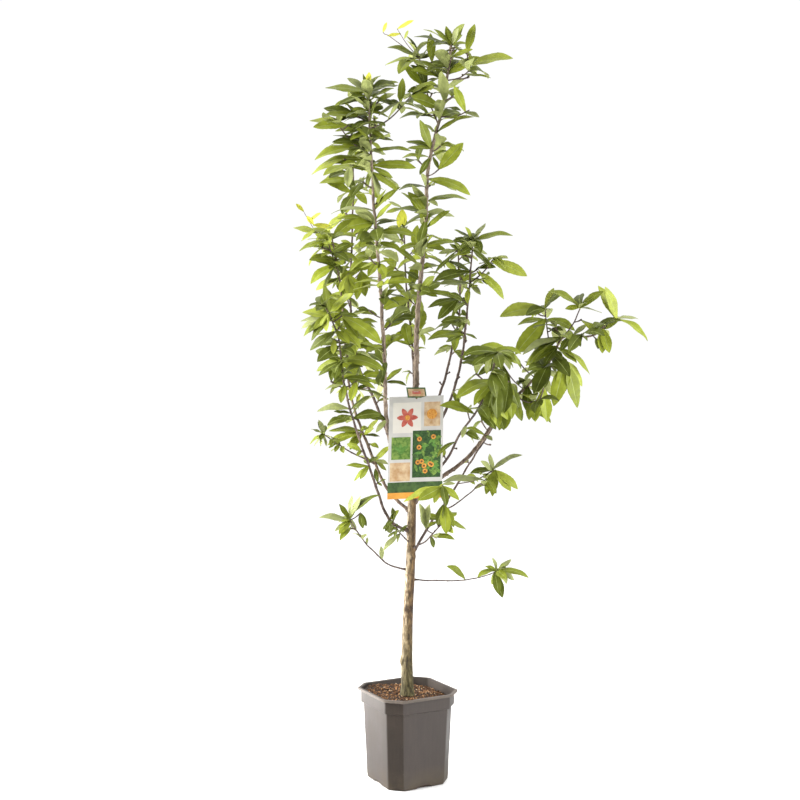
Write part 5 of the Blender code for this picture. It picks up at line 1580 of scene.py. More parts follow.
LEAF_FACES, LEAF_FINISHES = leaf_faces()
LIGHT_PULL = Vector((-0.25, -0.95, 0.15))


def blade_normal(along, outward, rng, roll):
    """Which way a blade's upper side faces: up, outward, a little to the light, and by chance."""
    wish = Vector((0, 0, 1.0)) + outward * 0.15 + LIGHT_PULL * rng.uniform(0.35, 1.15)
    side = along.cross(wish)
    if side.length < 0.15:
        side = along.cross(outward + Vector((0.1, -1, 0.3)))
    side = Matrix.Rotation(rng.uniform(-roll, roll), 3, along) @ side.normalized()
    return side.cross(along).normalized()


class Space:
    """Where a mass may grow: within reach of its own stems, not far past the half-way to any other."""

    def __init__(self, own_routes, other_routes, reach, top):
        self.reach = reach
        self.top = top
        self.own = self.tree_of(own_routes)
        self.others = self.tree_of(other_routes)

    @staticmethod
    def tree_of(routes):
        """A search tree of places at close spacing along routes."""
        places = []
        for route in routes:
            length = route_length(route)
            count = max(2, int(length / 0.006))
            places += [point_along(route, length * index / count)[0] for index in range(count + 1)]
        tree = KDTree(len(places))
        for index, place in enumerate(places):
            tree.insert(place, index)
        tree.balance()
        return tree

    def holds(self, point):
        """Whether a point lies in the space."""
        own = self.own.find(point)[2]
        if point.z > self.top or own > self.reach or own > self.others.find(point)[2] + SPACE_MARGIN:
            return False
        low, high = CAD_BOX
        return all(low[axis] - 0.002 < point[axis] < high[axis] + 0.002 for axis in range(3))


class Crown:
    """All leaves and twigs of the plant while they grow."""

    def __init__(self, solids):
        self.solids = solids
        self.blades = []
        self.centres = []
        self.leaves = {}
        self.twigs = {}
        self.fruit = []
        self.group = 0

    def proxy(self, leaf):
        """A coarse blade for the clearance test."""
        path, middle, sides, ups, reach, v, t, height = blade_points(leaf, PROXY_ROWS, PROXY_COLUMNS, 0.15)
        places = middle + sides * (v * reach)[..., None] + ups * height[..., None]
        width = len(PROXY_COLUMNS)
        faces = []
        for row in range(PROXY_ROWS):
            for column in range(width - 1):
                low = row * width + column
                faces.append((low, low + 1, low + width + 1, low + width))
        return places, BVHTree.FromPolygons(places.reshape(-1, 3).tolist(), faces)

    def try_leaf(self, leaf, region, space):
        """Keep a leaf that stays in its space and crosses no limb and no leaf of another spray."""
        places, tree = self.proxy(leaf)
        tip = Vector(places[-1, 1])
        middle = Vector(places[PROXY_ROWS // 2, 1])
        if space is not None:
            if not (space.holds(tip) and space.holds(middle)):
                return False
            if any(in_gap(place) for place in (tip, middle, tip.lerp(middle, 0.5))):
                return False
        low, high = CAD_BOX
        reach_low = places.reshape(-1, 3).min(axis=0)
        reach_high = places.reshape(-1, 3).max(axis=0)
        if np.any(reach_low < np.array(low) - 0.004) or np.any(reach_high > np.array(high) + 0.004):
            return False
        if any(tree.overlap(solid) for solid in self.solids):
            return False
        if self.centres:
            away = np.linalg.norm(np.array(self.centres) - np.array(middle), axis=1)
            for index in np.nonzero(away < 0.11)[0]:
                group, other = self.blades[index]
                if group != self.group and tree.overlap(other):
                    return False
        self.blades.append((self.group, tree))
        self.centres.append(tuple(middle))
        self.leaves.setdefault(region, []).append(leaf)
        return True

    def new_leaf(self, root, along, outward, length, droop, tint, rng, roll=0.55):
        """A leaf with the chance part of its form."""
        return Leaf(
            root=root, along=along, normal=blade_normal(along, outward, rng, roll), length=length,
            width=LEAF_WIDTH_SHARE * rng.uniform(0.86, 1.14), sag=rng.uniform(0.30, 1.05) + 0.5 * droop,
            fold=rng.uniform(0.18, 0.50), curl=rng.uniform(0.05, 0.36), twist=rng.uniform(-0.4, 0.4),
            wave=rng.uniform(0.0, 0.18), phase=rng.uniform(0, 6.28), tint=tint,
        )

    def rosette(self, knob, along, rule, region, space, rng, count, tint, size=1.0):
        """Leaves spread round a spur's knob, and two small ones that stand in its middle."""
        turn = rng.uniform(0, 2 * math.pi)
        for index in range(count):
            young = index >= count - 2
            for attempt in range(5):
                spread = math.radians(rng.uniform(12, 38) if young else rng.uniform(38, 80))
                side = perpendicular(along, turn + rng.uniform(-0.4, 0.4))
                way = along * math.cos(spread) + side * math.sin(spread)
                way.z -= rule.droop * rng.uniform(0.2, 1.0)
                way.normalize()
                if abs(way.y) < rule.deep:
                    turn += 0.7
                    continue
                root = knob - along * 0.0022 * (0.4 + 0.25 * index)
                length = rule.leaf * size * (rng.uniform(0.35, 0.6) if young else rng.uniform(0.72, 1.15))
                leaf = self.new_leaf(root, way, side, length, rule.droop, tint, rng)
                if self.try_leaf(leaf, region, space):
                    break
                turn += 0.7
            turn += GOLDEN_ANGLE

    def twig(self, points, radii, region, sides=7):
        """A twig kept with its region."""
        self.twigs.setdefault(region, []).append((points, radii, sides))

    def spur(self, foot, along, angle, length, rule, region, space, rng, count, tint, size=1.0):
        """A short bent side twig with a rosette on its knob."""
        self.group += 1
        side = perpendicular(along, angle)
        way = (side * 0.85 + along * 0.35 + Vector((0, 0, 0.25 - 0.3 * rule.droop))).normalized()
        tip = foot + way * length
        if not space.holds(tip):
            return False
        bend = foot.lerp(tip, 0.5) - Vector((0, 0, 0.06 * length))
        points = smooth_route([foot, bend, tip], 0.004)
        radii = []
        for index in range(len(points)):
            share = index / (len(points) - 1)
            ring = 0.0003 * (index % 2)
            radii.append(SPUR_FOOT_RADIUS + (SPUR_KNOB_RADIUS - SPUR_FOOT_RADIUS) * share ** 3 + ring)
        self.twig(points, radii, region)
        self.rosette(tip, way, rule, region, space, rng, count, tint, size)
        return True

    def whorl(self, foot, along, radius, rule, region, space, rng, count, tint, size=1.0):
        """Leaves that stand on the stem itself, turned round it by the golden angle."""
        self.group += 1
        turn = rng.uniform(0, 2 * math.pi)
        for index in range(count):
            root = foot + along * 0.0035 * (index - count / 2)
            small = index >= count - 1
            for attempt in range(5):
                side = perpendicular(along, turn + rng.uniform(-0.3, 0.3))
                rise = math.radians(rng.uniform(0, 48))
                way = side * math.cos(rise) + along * math.sin(rise)
                way.z -= rule.droop * rng.uniform(0.2, 1.0)
                way.normalize()
                if abs(way.y) < rule.deep:
                    turn += 0.7
                    continue
                length = rule.leaf * size * (rng.uniform(0.4, 0.65) if small else rng.uniform(0.74, 1.14))
                leaf = self.new_leaf(root + side * radius * 0.7, way, side, length, rule.droop, tint, rng)
                if self.try_leaf(leaf, region, space):
                    break
                turn += 0.7
            turn += GOLDEN_ANGLE

    def seen_spray(self, knob, blades, region, along):
        """The blades of one spray, each bent so that its tip comes to its named place."""
        self.group += 1
        for index, (x, z, lean, face, arc, tint) in enumerate(blades):
            root = knob + along * 0.0016 * (index - len(blades) / 2)
            for shift in (0.0, 0.018, -0.018, 0.036, -0.036):
                chord = seen(x, z, knob.y + lean + shift) - root
                way = chord.normalized()
                leaf = self.bent_leaf(root, chord.length, way, face, arc, tint, index)
                if self.try_leaf(leaf, region, None):
                    break

    def bent_leaf(self, root, reach, way, face, arc, tint, index):
        """A leaf whose chord runs a given way, with its face turned to the viewer by a share."""
        front = (Vector((0, -1, 0)) + way * way.y).normalized()
        up = front.cross(way)
        if up.z < 0:
            up.negate()
        normal = (front * face + up * math.sqrt(max(0.0, 1.0 - face * face))).normalized()
        bend = -0.60 * normal + Vector((0, 0, -0.40))
        first = way - bend * 0.435 * arc
        stretch = 1.0 / (first + bend * 0.435 * arc).length
        along = first.normalized()
        normal = (normal - along * normal.dot(along)).normalized()
        vary = math.sin(index * 2.4 + root.x * 90.0)
        return Leaf(
            root=root, along=along, normal=normal, length=reach * first.length * stretch,
            width=LEAF_WIDTH_SHARE * (1.0 + 0.08 * vary), sag=arc / first.length, fold=0.30 + 0.10 * vary,
            curl=0.20, twist=0.12 * vary, wave=0.10, phase=index * 1.7, tint=tint,
        )

    def clothe(self, route, radius, step, rule, region, space, rng, size=1.0):
        """Whorls and spurs up a stem, and a rosette at its tip."""
        length = route_length(route)
        distance = step * rng.uniform(0.3, 0.9)
        angle = rng.uniform(0, 2 * math.pi)
        while distance < length - step * 0.4:
            foot, along = point_along(route, distance)
            tint = rng.choices(range(4), rule.tints)[0]
            if rng.random() < rule.spurs:
                reach = rule.spur * rng.uniform(0.35, 1.5)
                for attempt in range(3):
                    count = rule.leaves - rng.choice((0, 1, 2))
                    if self.spur(foot, along, angle, reach, rule, region, space, rng, count, tint, size * 0.92):
                        break
                    angle += 0.9
            else:
                self.whorl(foot, along, radius, rule, region, space, rng, rule.leaves, tint, size)
            angle += GOLDEN_ANGLE
            distance += step * rng.uniform(0.75, 1.25)
        self.group += 1
        tip, along = point_along(route, length)
        tint = rng.choices(range(4), rule.tints)[0]
        self.rosette(tip, along, rule, region, space, rng, rule.leaves + 2, tint, size)


def seen(x, z, depth):
    """A place on the upright plane through the pot's middle, moved along the line of sight."""
    camera = Vector(CAMERA_PLACE)
    return camera + (Vector((x, 0.0, z)) - camera) * ((depth - camera.y) / -camera.y)


def on_plane(place):
    """Where a place shows on the upright plane through the pot's middle."""
    camera = Vector(CAMERA_PLACE)
    shown = camera + (place - camera) * (-camera.y / (place.y - camera.y))
    return Vector((shown.x, shown.z))


def in_gap(place):
    """Whether a place shows in a stretch of open sky."""
    shown = on_plane(place)
    for x, z, wide, high in GAPS:
        if ((shown.x - x) / wide) ** 2 + ((shown.y - z) / high) ** 2 < 1.0:
            return True
    return False


def near_stem(stems, knob):
    """The place and direction on the stems that show closest to a knob on the view plane."""
    best = None
    for route in stems:
        length = route_length(route)
        count = max(2, int(length / 0.004))
        for index in range(count + 1):
            place, along = point_along(route, length * index / count)
            away = (on_plane(place) - Vector(knob)).length
            if best is None or away < best[0]:
                best = (away, place, along)
    return best[1], best[2]


def carrying_place(stems, knob):
    """Where a spur to a knob leaves the stems: near it, and lower."""
    best = None
    for route in stems:
        length = route_length(route)
        count = max(2, int(length / 0.006))
        for index in range(count + 1):
            place = point_along(route, length * index / count)[0]
            way = knob - place
            cost = way.length + 1.5 * max(0.0, 0.35 * way.length - way.z)
            if best is None or cost < best[0]:
                best = (cost, place)
    return best[1]


def grow_sprays(crown, routes, sides):
    """The sprays that show clearly, and the thin young twigs."""
    regions = {shoot.name: shoot.region for shoot in SHOOTS}
    for spray in SPRAYS:
        stems = [routes[spray.carrier], *sides[spray.carrier]]
        if spray.depth is None:
            knob, along = near_stem(stems, spray.knob)
        else:
            knob = seen(*spray.knob, spray.depth)
            foot = carrying_place(stems, knob)
            bend = foot.lerp(knob, 0.5) - Vector((0, 0, 0.07 * (knob - foot).length))
            points = smooth_route([foot, bend, knob], 0.004)
            radii = [SPUR_FOOT_RADIUS + 0.0008 * (index / len(points)) ** 3 for index in range(len(points))]
            crown.twig(points, radii, regions[spray.carrier])
            along = (knob - foot).normalized()
        crown.seen_spray(knob, spray.blades, regions[spray.carrier], along)
    for carrier, foot, tip, depth, blades in YOUNG_TWIGS:
        start = carrying_place([routes[carrier], *sides[carrier]], seen(*foot, depth))
        middle, end = seen(*foot, depth), seen(*tip, depth)
        points = smooth_route([start, middle, middle.lerp(end, 0.5) - Vector((0.004, 0, 0)), end], 0.004)
        crown.twig(points, [0.0013 - 0.0006 * index / len(points) for index in range(len(points))],
                   regions[carrier], 6)
        for index, blade in enumerate(blades):
            share = 1.0 - 0.16 * index
            knob = middle.lerp(end, share)
            crown.seen_spray(knob, (blade,), regions[carrier], (end - middle).normalized())


def split_at(points, share):
    """The part of a route past a share of its length."""
    distance = route_length(points) * share
    place = point_along(points, distance)[0]
    rest, walked = [place], 0.0
    for before, after in zip(points, points[1:]):
        walked += (after - before).length
        if walked > distance + 0.002:
            rest.append(after)
    return rest


def grow_crown(routes, solids):
    """Every leaf and twig, mass by mass."""
    crown = Crown(solids)
    stems = {shoot.name: split_at(routes[shoot.name], shoot.bare) for shoot in SHOOTS}
    sides = {shoot.name: [] for shoot in SHOOTS}
    for name, foot_z, tip in SIDE_STEMS:
        sides[name].append(side_route(stems[name], foot_z, tip))
    grow_sprays(crown, routes, sides)
    for number, shoot in enumerate(SHOOTS):
        rule = shoot.foliage
        own = [routes[shoot.name], *sides[shoot.name]]
        foreign = [stem for name, stem in stems.items() if name != shoot.name]
        foreign += [route for name, group in sides.items() if name != shoot.name for route in group]
        space = Space(own, foreign, rule.reach, rule.top)
        rng = random.Random(SEED + number + 100 * rule.seed)
        crown.clothe(stems[shoot.name], shoot.tip_radius * 1.3, rule.step, rule, shoot.region, space, rng)
        for route in sides[shoot.name]:
            fine = wandering(smooth_route(route, 0.005), 0.0012, 40.0, number)
            radii = [SIDE_STEM_RADIUS - 0.0006 * index / len(fine) for index in range(len(fine))]
            crown.twig(fine, radii, shoot.region, 8)
            crown.clothe(route, SIDE_STEM_RADIUS, rule.step, rule, shoot.region, space, rng, 0.95)
        if rule.low < 1.0:
            bare = route_length(routes[shoot.name]) * shoot.bare
            distance = bare * rule.low
            angle = rng.uniform(0, 6.28)
            while distance < bare:
                foot, along = point_along(routes[shoot.name], distance)
                tint = rng.choices(range(4), rule.tints)[0]
                crown.spur(foot, along, angle, 0.012, rule, shoot.region, space, rng, 3, tint, 0.62)
                angle += GOLDEN_ANGLE
                distance += rng.uniform(0.030, 0.055)
    return crown


REGIONS = ("top", "left", "right", "arm", "low")


def build_foliage(crown, leaf_looks, under, rib, twig_look):
    """The joined leaves and the joined twigs of each region of the crown."""
    looks = [*leaf_looks, under, rib]
    for region in REGIONS:
        draft = Draft()
        for leaf in crown.leaves[region]:
            finishes = [leaf.tint if finish == 0 else len(leaf_looks) + finish - 1 for finish in LEAF_FINISHES]
            draft.add(leaf_mesh(leaf), LEAF_FACES, finishes)
        piece = draft.piece(region + "_leaves", looks, 75)
        members = [shoot.name + "_foliage" for shoot in SHOOTS if shoot.region == region]
        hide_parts(*members)
        twigs = Draft()
        for points, radii, sides in crown.twigs[region]:
            twigs.add(*tube_mesh(points, radii, sides))
        wood = twigs.piece(region + "_twigs", [twig_look], 60)


# Pot


def rounded_ring(across, corner, z, radius=CORNER_ROUND):
    """A square with cut corners, each of its eight corners rounded, turned as the pot stands."""
    half = across / 2
    near = half - corner
    corners = ((near, -half), (half, -near), (half, near), (near, half),
               (-near, half), (-half, near), (-half, -near), (-near, -half))
    turn = Matrix.Rotation(POT_TURN, 3, "Z")
    ring = []
    for index, middle in enumerate(corners):
        before = Vector(corners[index - 1]) - Vector(middle)
        after = Vector(corners[(index + 1) % 8]) - Vector(middle)
        start = Vector(middle) + before.normalized() * radius
        end = Vector(middle) + after.normalized() * radius
        for share in (0.0, 0.33, 0.67, 1.0):
            point = start.lerp(Vector(middle), share).lerp(Vector(middle).lerp(end, share), share)
            ring.append(turn @ Vector((point.x, point.y, z)))
        for share in (0.25, 0.5, 0.75):
            following = Vector(corners[(index + 1) % 8])
            far = following - after.normalized() * radius
            point = end.lerp(far, share)
            ring.append(turn @ Vector((point.x, point.y, z)))
    return ring


def pot_cut(across):
    """The length cut off each corner, which grows with the pot's width."""
    share = (across - FOOT_ACROSS) / (LIP_ACROSS - FOOT_ACROSS)
    return FOOT_CUT + (LIP_CUT - FOOT_CUT) * share


def pot_ring(across, z, inset=0.0):
    """A ring of the pot's outside, or of its inside where an inset is given."""
    width = across - 2 * inset
    return rounded_ring(width, pot_cut(across) - inset * (2 - math.sqrt(2)), z)


# Of the 14 faces from one flat side to the next in a ring, those on the cut corner
CUT_FACES = (3, 4, 5, 6)
STEP_Z = POT_HEIGHT - BAND_HEIGHT
LIP_Z = POT_HEIGHT - LIP_HEIGHT


def inner_across(z):
    """Width of the pot's outside under its band at a height."""
    return FOOT_ACROSS + (WAIST_ACROSS - FOOT_ACROSS) * z / STEP_Z


def plastic_look(name, colour, worn=0.0, gloss=0.36):
    """Recycled pot plastic: flow streaks, a dusty bloom and fine grain."""
    material, nodes, links, shader = new_look(name, colour, 0.42, Specular_IOR_Level=gloss)
    streaks = noise_of(nodes, links, coords(nodes, links, (1.0, 1.0, 0.06)), 170.0, 4.0, 0.6)
    bloom = noise_of(nodes, links, coords(nodes, links), 11.0, 5.0, 0.6)
    dust = noise_of(nodes, links, coords(nodes, links), 240.0, 4.0, 0.7)
    body = ramp_of(nodes, links, streaks, ((0.30, shaded(colour, 0.90)), (0.70, shaded(colour, 1.12))))
    tone = ramp_of(nodes, links, bloom, ((0.32, (0.86, 0.85, 0.84)), (0.68, (1.15, 1.13, 1.10))))
    body = mix_colours(nodes, links, 1.0, body, tone, "MULTIPLY")
    specks = range_of(nodes, links, dust, 0.60, 0.74, 0.0, 0.06 + worn)
    body = mix_colours(nodes, links, specks, body, (0.30, 0.28, 0.25))
    height = nodes.new("ShaderNodeSeparateXYZ")
    links.new(coords(nodes, links), height.inputs["Vector"])
    splash = mix_colours(nodes, links, 1.0, range_of(nodes, links, height.outputs["Z"], 0.0, 0.055, 1.0, 0.0),
                         range_of(nodes, links, bloom, 0.36, 0.62, 0.1, 0.9), "MULTIPLY")
    body = mix_colours(nodes, links, splash, body, (0.062, 0.046, 0.027))
    links.new(body, shader.inputs["Base Color"])
    links.new(range_of(nodes, links, bloom, 0.3, 0.7, 0.36, 0.52), shader.inputs["Roughness"])
    links.new(bump_of(nodes, links, dust, 0.10, 0.0006), shader.inputs["Normal"])
    return material


# Small nicks in the lip: angle round the pot from +X, width in metres, depth in metres
LIP_NICKS = (
    (math.radians(-52), 0.004, 0.0022), (math.radians(-84), 0.005, 0.0012), (math.radians(-100), 0.004, 0.0016),
    (math.radians(-118), 0.003, 0.0012), (math.radians(2), 0.006, 0.0030), (math.radians(140), 0.005, 0.0015),
    (math.radians(70), 0.004, 0.0014),
)


def build_pot():
    """The pot in fine rings, with a worn lip and the notches of its foot cut out."""
    rings, finishes = [], []

    def level(across, z, inset=0.0, finish=0):
        rings.append(pot_ring(across, z, inset))
        finishes.append(finish)

    level(FOOT_ACROSS - 2 * FOOT_ROUND, 0.0)
    for share in (0.25, 0.5, 0.75, 1.0):
        swing = share * math.pi / 2
        level(FOOT_ACROSS - 2 * FOOT_ROUND * (1 - math.sin(swing)), FOOT_ROUND * (1 - math.cos(swing)))
    wall = 22
    for index in range(1, wall):
        z = FOOT_ROUND + (STEP_Z - BAND_SLOPE - FOOT_ROUND) * index / wall
        level(inner_across(z) + 0.0004, z)
    level(WAIST_ACROSS, STEP_Z - BAND_SLOPE - 0.0006)
    level(WAIST_ACROSS + 0.0015, STEP_Z - BAND_SLOPE)
    level(BAND_ACROSS - 0.0016, STEP_Z - 0.0003)
    level(BAND_ACROSS, STEP_Z + 0.0009)
    for share in (0.2, 0.4, 0.6, 0.8):
        level(BAND_ACROSS + 0.0004 * math.sin(share * math.pi), STEP_Z + (LIP_Z - STEP_Z) * share)
    level(BAND_ACROSS, LIP_Z - 0.0008)
    level(BAND_ACROSS + 0.0012, LIP_Z)
    level(LIP_ACROSS - 0.0014, LIP_Z, finish=1)
    level(LIP_ACROSS, LIP_Z + 0.0008, finish=1)
    level(LIP_ACROSS, POT_HEIGHT - 0.0010, finish=1)
    level(LIP_ACROSS - 0.0016, POT_HEIGHT, finish=1)
    level(BAND_ACROSS + 0.0016, POT_HEIGHT, finish=1)
    level(BAND_ACROSS, POT_HEIGHT - 0.0012, POT_WALL, 2)
    level(BAND_ACROSS, STEP_Z + POT_WALL, POT_WALL, 2)
    level(WAIST_ACROSS, STEP_Z - BAND_SLOPE, POT_WALL, 2)
    level(inner_across(POT_FLOOR), POT_FLOOR, POT_WALL, 2)
    corners = len(rings[0])
    for ring, finish in zip(rings, finishes):
        for corner in ring:
            flat = Vector((corner.x, corner.y, 0.0))
            angle = math.atan2(corner.y, corner.x)
            way = flat.normalized()
            ripple = 0.00022 * noise.noise(Vector((angle * 5.0, corner.z * 20.0, 3.0)))
            corner += way * (ripple - 0.0003)
            if finish == 1:
                corner.z -= 0.0004 * abs(noise.noise(Vector((angle * 17.0, corner.z * 60.0, 9.0))))
                for nick_angle, width, depth in LIP_NICKS:
                    turn = (angle - nick_angle + math.pi) % (2 * math.pi) - math.pi
                    share = math.exp(-(turn * flat.length / width) ** 2)
                    corner -= way * depth * share
    faces, marks = [], []
    for low in range(len(rings) - 1):
        for index in range(corners):
            after = (index + 1) % corners
            faces.append((low * corners + index, low * corners + after,
                          (low + 1) * corners + after, (low + 1) * corners + index))
            mark = finishes[low] if finishes[low] == finishes[low + 1] else 0
            # Body faces on the cut corners take a darker, less glossy copy of the plastic: painted shade.
            marks.append(3 if mark == 0 and index % 14 in CUT_FACES else mark)
    faces.append(tuple(reversed(range(corners))))
    last = (len(rings) - 1) * corners
    faces.append(tuple(range(last, last + corners)))
    marks += [0, 0]
    draft = Draft()
    draft.add([corner for ring in rings for corner in ring], faces, marks)
    looks = [plastic_look("pot_plastic", (0.029, 0.0215, 0.0180)),
             plastic_look("pot_lip", (0.080, 0.064, 0.052), 0.22),
             # The inside is a lighter copy of the same plastic: painted light on the inner walls.
             plastic_look("pot_inside_painted_light", (0.060, 0.051, 0.045), 0.06),
             plastic_look("pot_corner_painted_shade", (0.023, 0.0175, 0.014), gloss=0.14)]
    pot = draft.piece("pot_shell", looks, 32)
    for side in range(4):
        bm = bmesh.new()
        bmesh.ops.create_cone(bm, cap_ends=True, segments=32, radius1=0.5, radius2=0.5, depth=1.0)
        turn = Matrix.Rotation(POT_TURN + side * math.pi / 2, 4, "Z")
        place = Matrix.Translation((FOOT_ACROSS / 2, 0.0, 0.0))
        size = Matrix.Diagonal((NOTCH_DEPTH, NOTCH_WIDTH, 2 * NOTCH_HEIGHT, 1.0))
        lay = Matrix.Rotation(math.pi / 2, 4, "Y")
        bmesh.ops.transform(bm, matrix=turn @ place @ size @ lay, verts=bm.verts[:])
        cutter_mesh = bpy.data.meshes.new("notch")
        bm.to_mesh(cutter_mesh)
        bm.free()
        cutter = bpy.data.objects.new("notch", cutter_mesh)
        bpy.context.scene.collection.objects.link(cutter)
        cut = pot.modifiers.new("notch", "BOOLEAN")
        cut.operation = "DIFFERENCE"
        cut.solver = "EXACT"
        cut.object = cutter
        bpy.context.view_layer.update()
        result = bpy.data.meshes.new_from_object(pot.evaluated_get(bpy.context.evaluated_depsgraph_get()))
        pot.modifiers.clear()
        pot.data = result
        bpy.data.objects.remove(cutter, do_unlink=True)
    pot.data.set_sharp_from_angle(angle=math.radians(32))
    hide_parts("pot")
    return pot


# Soil


def soil_height(x, y):
    """Height of the potting bark's surface at a place."""
    middle = on_tree(TRUNK_PLACES[0])
    away = math.hypot(x - middle.x, y - middle.y)
    rise = (GROUND_Z - SOIL_EDGE_Z) * max(0.0, 1.0 - away / 0.085)
    lumps = 0.0014 * noise.noise(Vector((x * 60, y * 60, 1.0))) + 0.0008 * noise.noise(Vector((x * 190, y * 190, 4.0)))
    bank = SOIL_BANK * max(0.0, 0.45 * y - x) / 0.10
    return SOIL_EDGE_Z + rise + lumps + bank - 0.0012


def chip_shapes(rng, count=26):
    """Ragged flat chips, each the hull of a few chance points."""
    shapes = []
    for index in range(count):
        bm = bmesh.new()
        for corner in range(10):
            bm.verts.new((rng.uniform(-0.5, 0.5), rng.uniform(-0.32, 0.32), rng.uniform(-0.16, 0.16)))
        bmesh.ops.convex_hull(bm, input=bm.verts[:])
        kept = {vert for face in bm.faces for vert in face.verts}
        for vert in [vert for vert in bm.verts if vert not in kept]:
            bm.verts.remove(vert)
        bm.verts.index_update()
        shapes.append(([tuple(vert.co) for vert in bm.verts], [[vert.index for vert in face.verts] for face in bm.faces]))
        bm.free()
    return shapes


def inside_pot(x, y, margin):
    """Whether a place lies inside the pot's upper wall by a margin."""
    half = BAND_ACROSS / 2 - POT_WALL - margin
    cut = pot_cut(BAND_ACROSS)
    turned = Matrix.Rotation(-POT_TURN, 2) @ Vector((x, y))
    a, b = abs(turned.x), abs(turned.y)
    return a < half and b < half and a + b < 2 * half - cut + margin * 0.4


def build_soil():
    """Potting bark: a lumpy bed with loose chips in four browns, and one body under it."""
    draft = Draft()
    inset = POT_WALL + 0.0004
    rings = [
        pot_ring(inner_across(POT_FLOOR + GAP), POT_FLOOR + GAP, inset),
        pot_ring(WAIST_ACROSS, STEP_Z - BAND_SLOPE, inset),
        pot_ring(BAND_ACROSS, STEP_Z + POT_WALL + GAP, inset),
    ]
    edge = pot_ring(BAND_ACROSS, SOIL_EDGE_Z, inset)
    for corner in edge:
        corner.z = soil_height(corner.x, corner.y) - 0.002
    rings.append(edge)
    middle = on_tree(TRUNK_PLACES[0])
    circles = 26
    for circle in range(1, circles):
        share = circle / circles
        ring = []
        for corner in edge:
            x = corner.x + (middle.x - corner.x) * share
            y = corner.y + (middle.y - corner.y) * share
            ring.append(Vector((x, y, soil_height(x, y))))
        rings.append(ring)
    corners = len(edge)
    faces = []
    for low in range(len(rings) - 1):
        for index in range(corners):
            after = (index + 1) % corners
            faces.append((low * corners + index, low * corners + after,
                          (low + 1) * corners + after, (low + 1) * corners + index))
    faces.append(tuple(reversed(range(corners))))
    last = (len(rings) - 1) * corners
    faces.append(tuple(range(last, last + corners)))
    draft.add([corner for ring in rings for corner in ring], faces, 0)
    rng = random.Random(SEED * 3)
    shapes = chip_shapes(rng)
    placed = 0
    while placed < CHIP_COUNT:
        x, y = rng.uniform(-0.1, 0.1), rng.uniform(-0.1, 0.1)
        size = rng.uniform(*CHIP_SIZE) * rng.choice((0.8, 1.0, 1.35))
        if not inside_pot(x, y, 0.004) or math.hypot(x - middle.x, y - middle.y) < 0.015:
            continue
        corners_of, faces_of = shapes[placed % len(shapes)]
        tilt = Matrix.Rotation(rng.uniform(-0.6, 0.6), 3, "X") @ Matrix.Rotation(rng.uniform(-0.6, 0.6), 3, "Y")
        turn = Matrix.Rotation(rng.uniform(0, 6.28), 3, "Z") @ tilt
        place = Vector((x, y, soil_height(x, y) + size * rng.uniform(0.02, 0.22)))
        draft.add([place + turn @ (Vector(corner) * size) for corner in corners_of], faces_of,
                  rng.choices((1, 2, 3, 4), (8, 7, 3, 0.6))[0])
        placed += 1
    browns = (("soil_peat", (0.026, 0.013, 0.006)), ("chip_dark", (0.070, 0.030, 0.011)),
              ("chip_mid", (0.190, 0.086, 0.030)), ("chip_light", (0.400, 0.205, 0.085)),
              ("chip_pale", (0.700, 0.500, 0.310)))
    looks = []
    for name, colour in browns:
        material, nodes, links, shader = new_look(name, colour, 0.9)
        grain = noise_of(nodes, links, coords(nodes, links), 520.0, 4.0, 0.65)
        links.new(ramp_of(nodes, links, grain, ((0.3, shaded(colour, 0.55)), (0.7, shaded(colour, 1.30)))),
                  shader.inputs["Base Color"])
        links.new(bump_of(nodes, links, grain, 0.6, 0.0008), shader.inputs["Normal"])
        looks.append(material)
    soil = draft.piece("soil_bed", looks, 25)
    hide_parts("soil")
    return soil


# Hang label


def print_look(name, low, high, scale, roughness=0.32):
    """Glossy printed card: two inks in a soft mottle."""
    material, nodes, links, shader = new_look(name, low, roughness, Coat_Weight=0.25, Coat_Roughness=0.2)
    mottle = noise_of(nodes, links, coords(nodes, links), scale, 3.0)
    links.new(ramp_of(nodes, links, mottle, ((0.35, low), (0.65, high))), shader.inputs["Base Color"])
    return material


def label_place(across, down, lift=0.0):
    """A place on the sheet, by shares of its width and height, lifted off its front."""
    sag = LABEL_LEAN * down + LABEL_CURL * (down ** 4) - 0.006 * (1 - (2 * across) ** 2)
    ripple = 0.0012 * noise.noise(Vector((across * 3.0, down * 3.0, 2.0)))
    rise = LABEL_SHEAR * across * LABEL_WIDTH
    flat = Vector((across * LABEL_WIDTH, -sag - lift + ripple, rise - down * LABEL_HEIGHT))
    return on_tree(LABEL_TOP) + Matrix.Rotation(LABEL_TILT, 3, "Y") @ flat


# Panels of the print: left, right, top and bottom as shares of the sheet, and the ink
LABEL_PANELS = (
    (-0.5, 0.5, 0.0, 1.0, 0),
    (-0.42, 0.10, 0.06, 0.36, 1),
    (0.14, 0.44, 0.06, 0.30, 2),
    (-0.44, -0.10, 0.40, 0.62, 3),
    (-0.06, 0.46, 0.34, 0.80, 4),
    (-0.46, -0.10, 0.65, 0.83, 2),
    (-0.5, 0.5, 0.84, 0.945, 5),
    (-0.5, 0.5, 0.945, 1.0, 6),
)


def panel_ink(across, down):
    """The ink of the last panel that holds a place on the sheet."""
    ink = 0
    for left, right, top, bottom, number in LABEL_PANELS:
        if left <= across <= right and top <= down <= bottom:
            ink = number
    return ink


def disc_mesh(across, down, radius, lift, sides=18):
    """A round motif that lies on the sheet."""
    places = [label_place(across, down, lift)]
    for index in range(sides):
        angle = 2 * math.pi * index / sides
        places.append(label_place(across + radius / LABEL_WIDTH * math.cos(angle),
                                  down + radius / LABEL_HEIGHT * math.sin(angle), lift))
    faces = [(0, 1 + index, 1 + (index + 1) % sides) for index in range(sides)]
    return places, [tuple(reversed(face)) for face in faces]


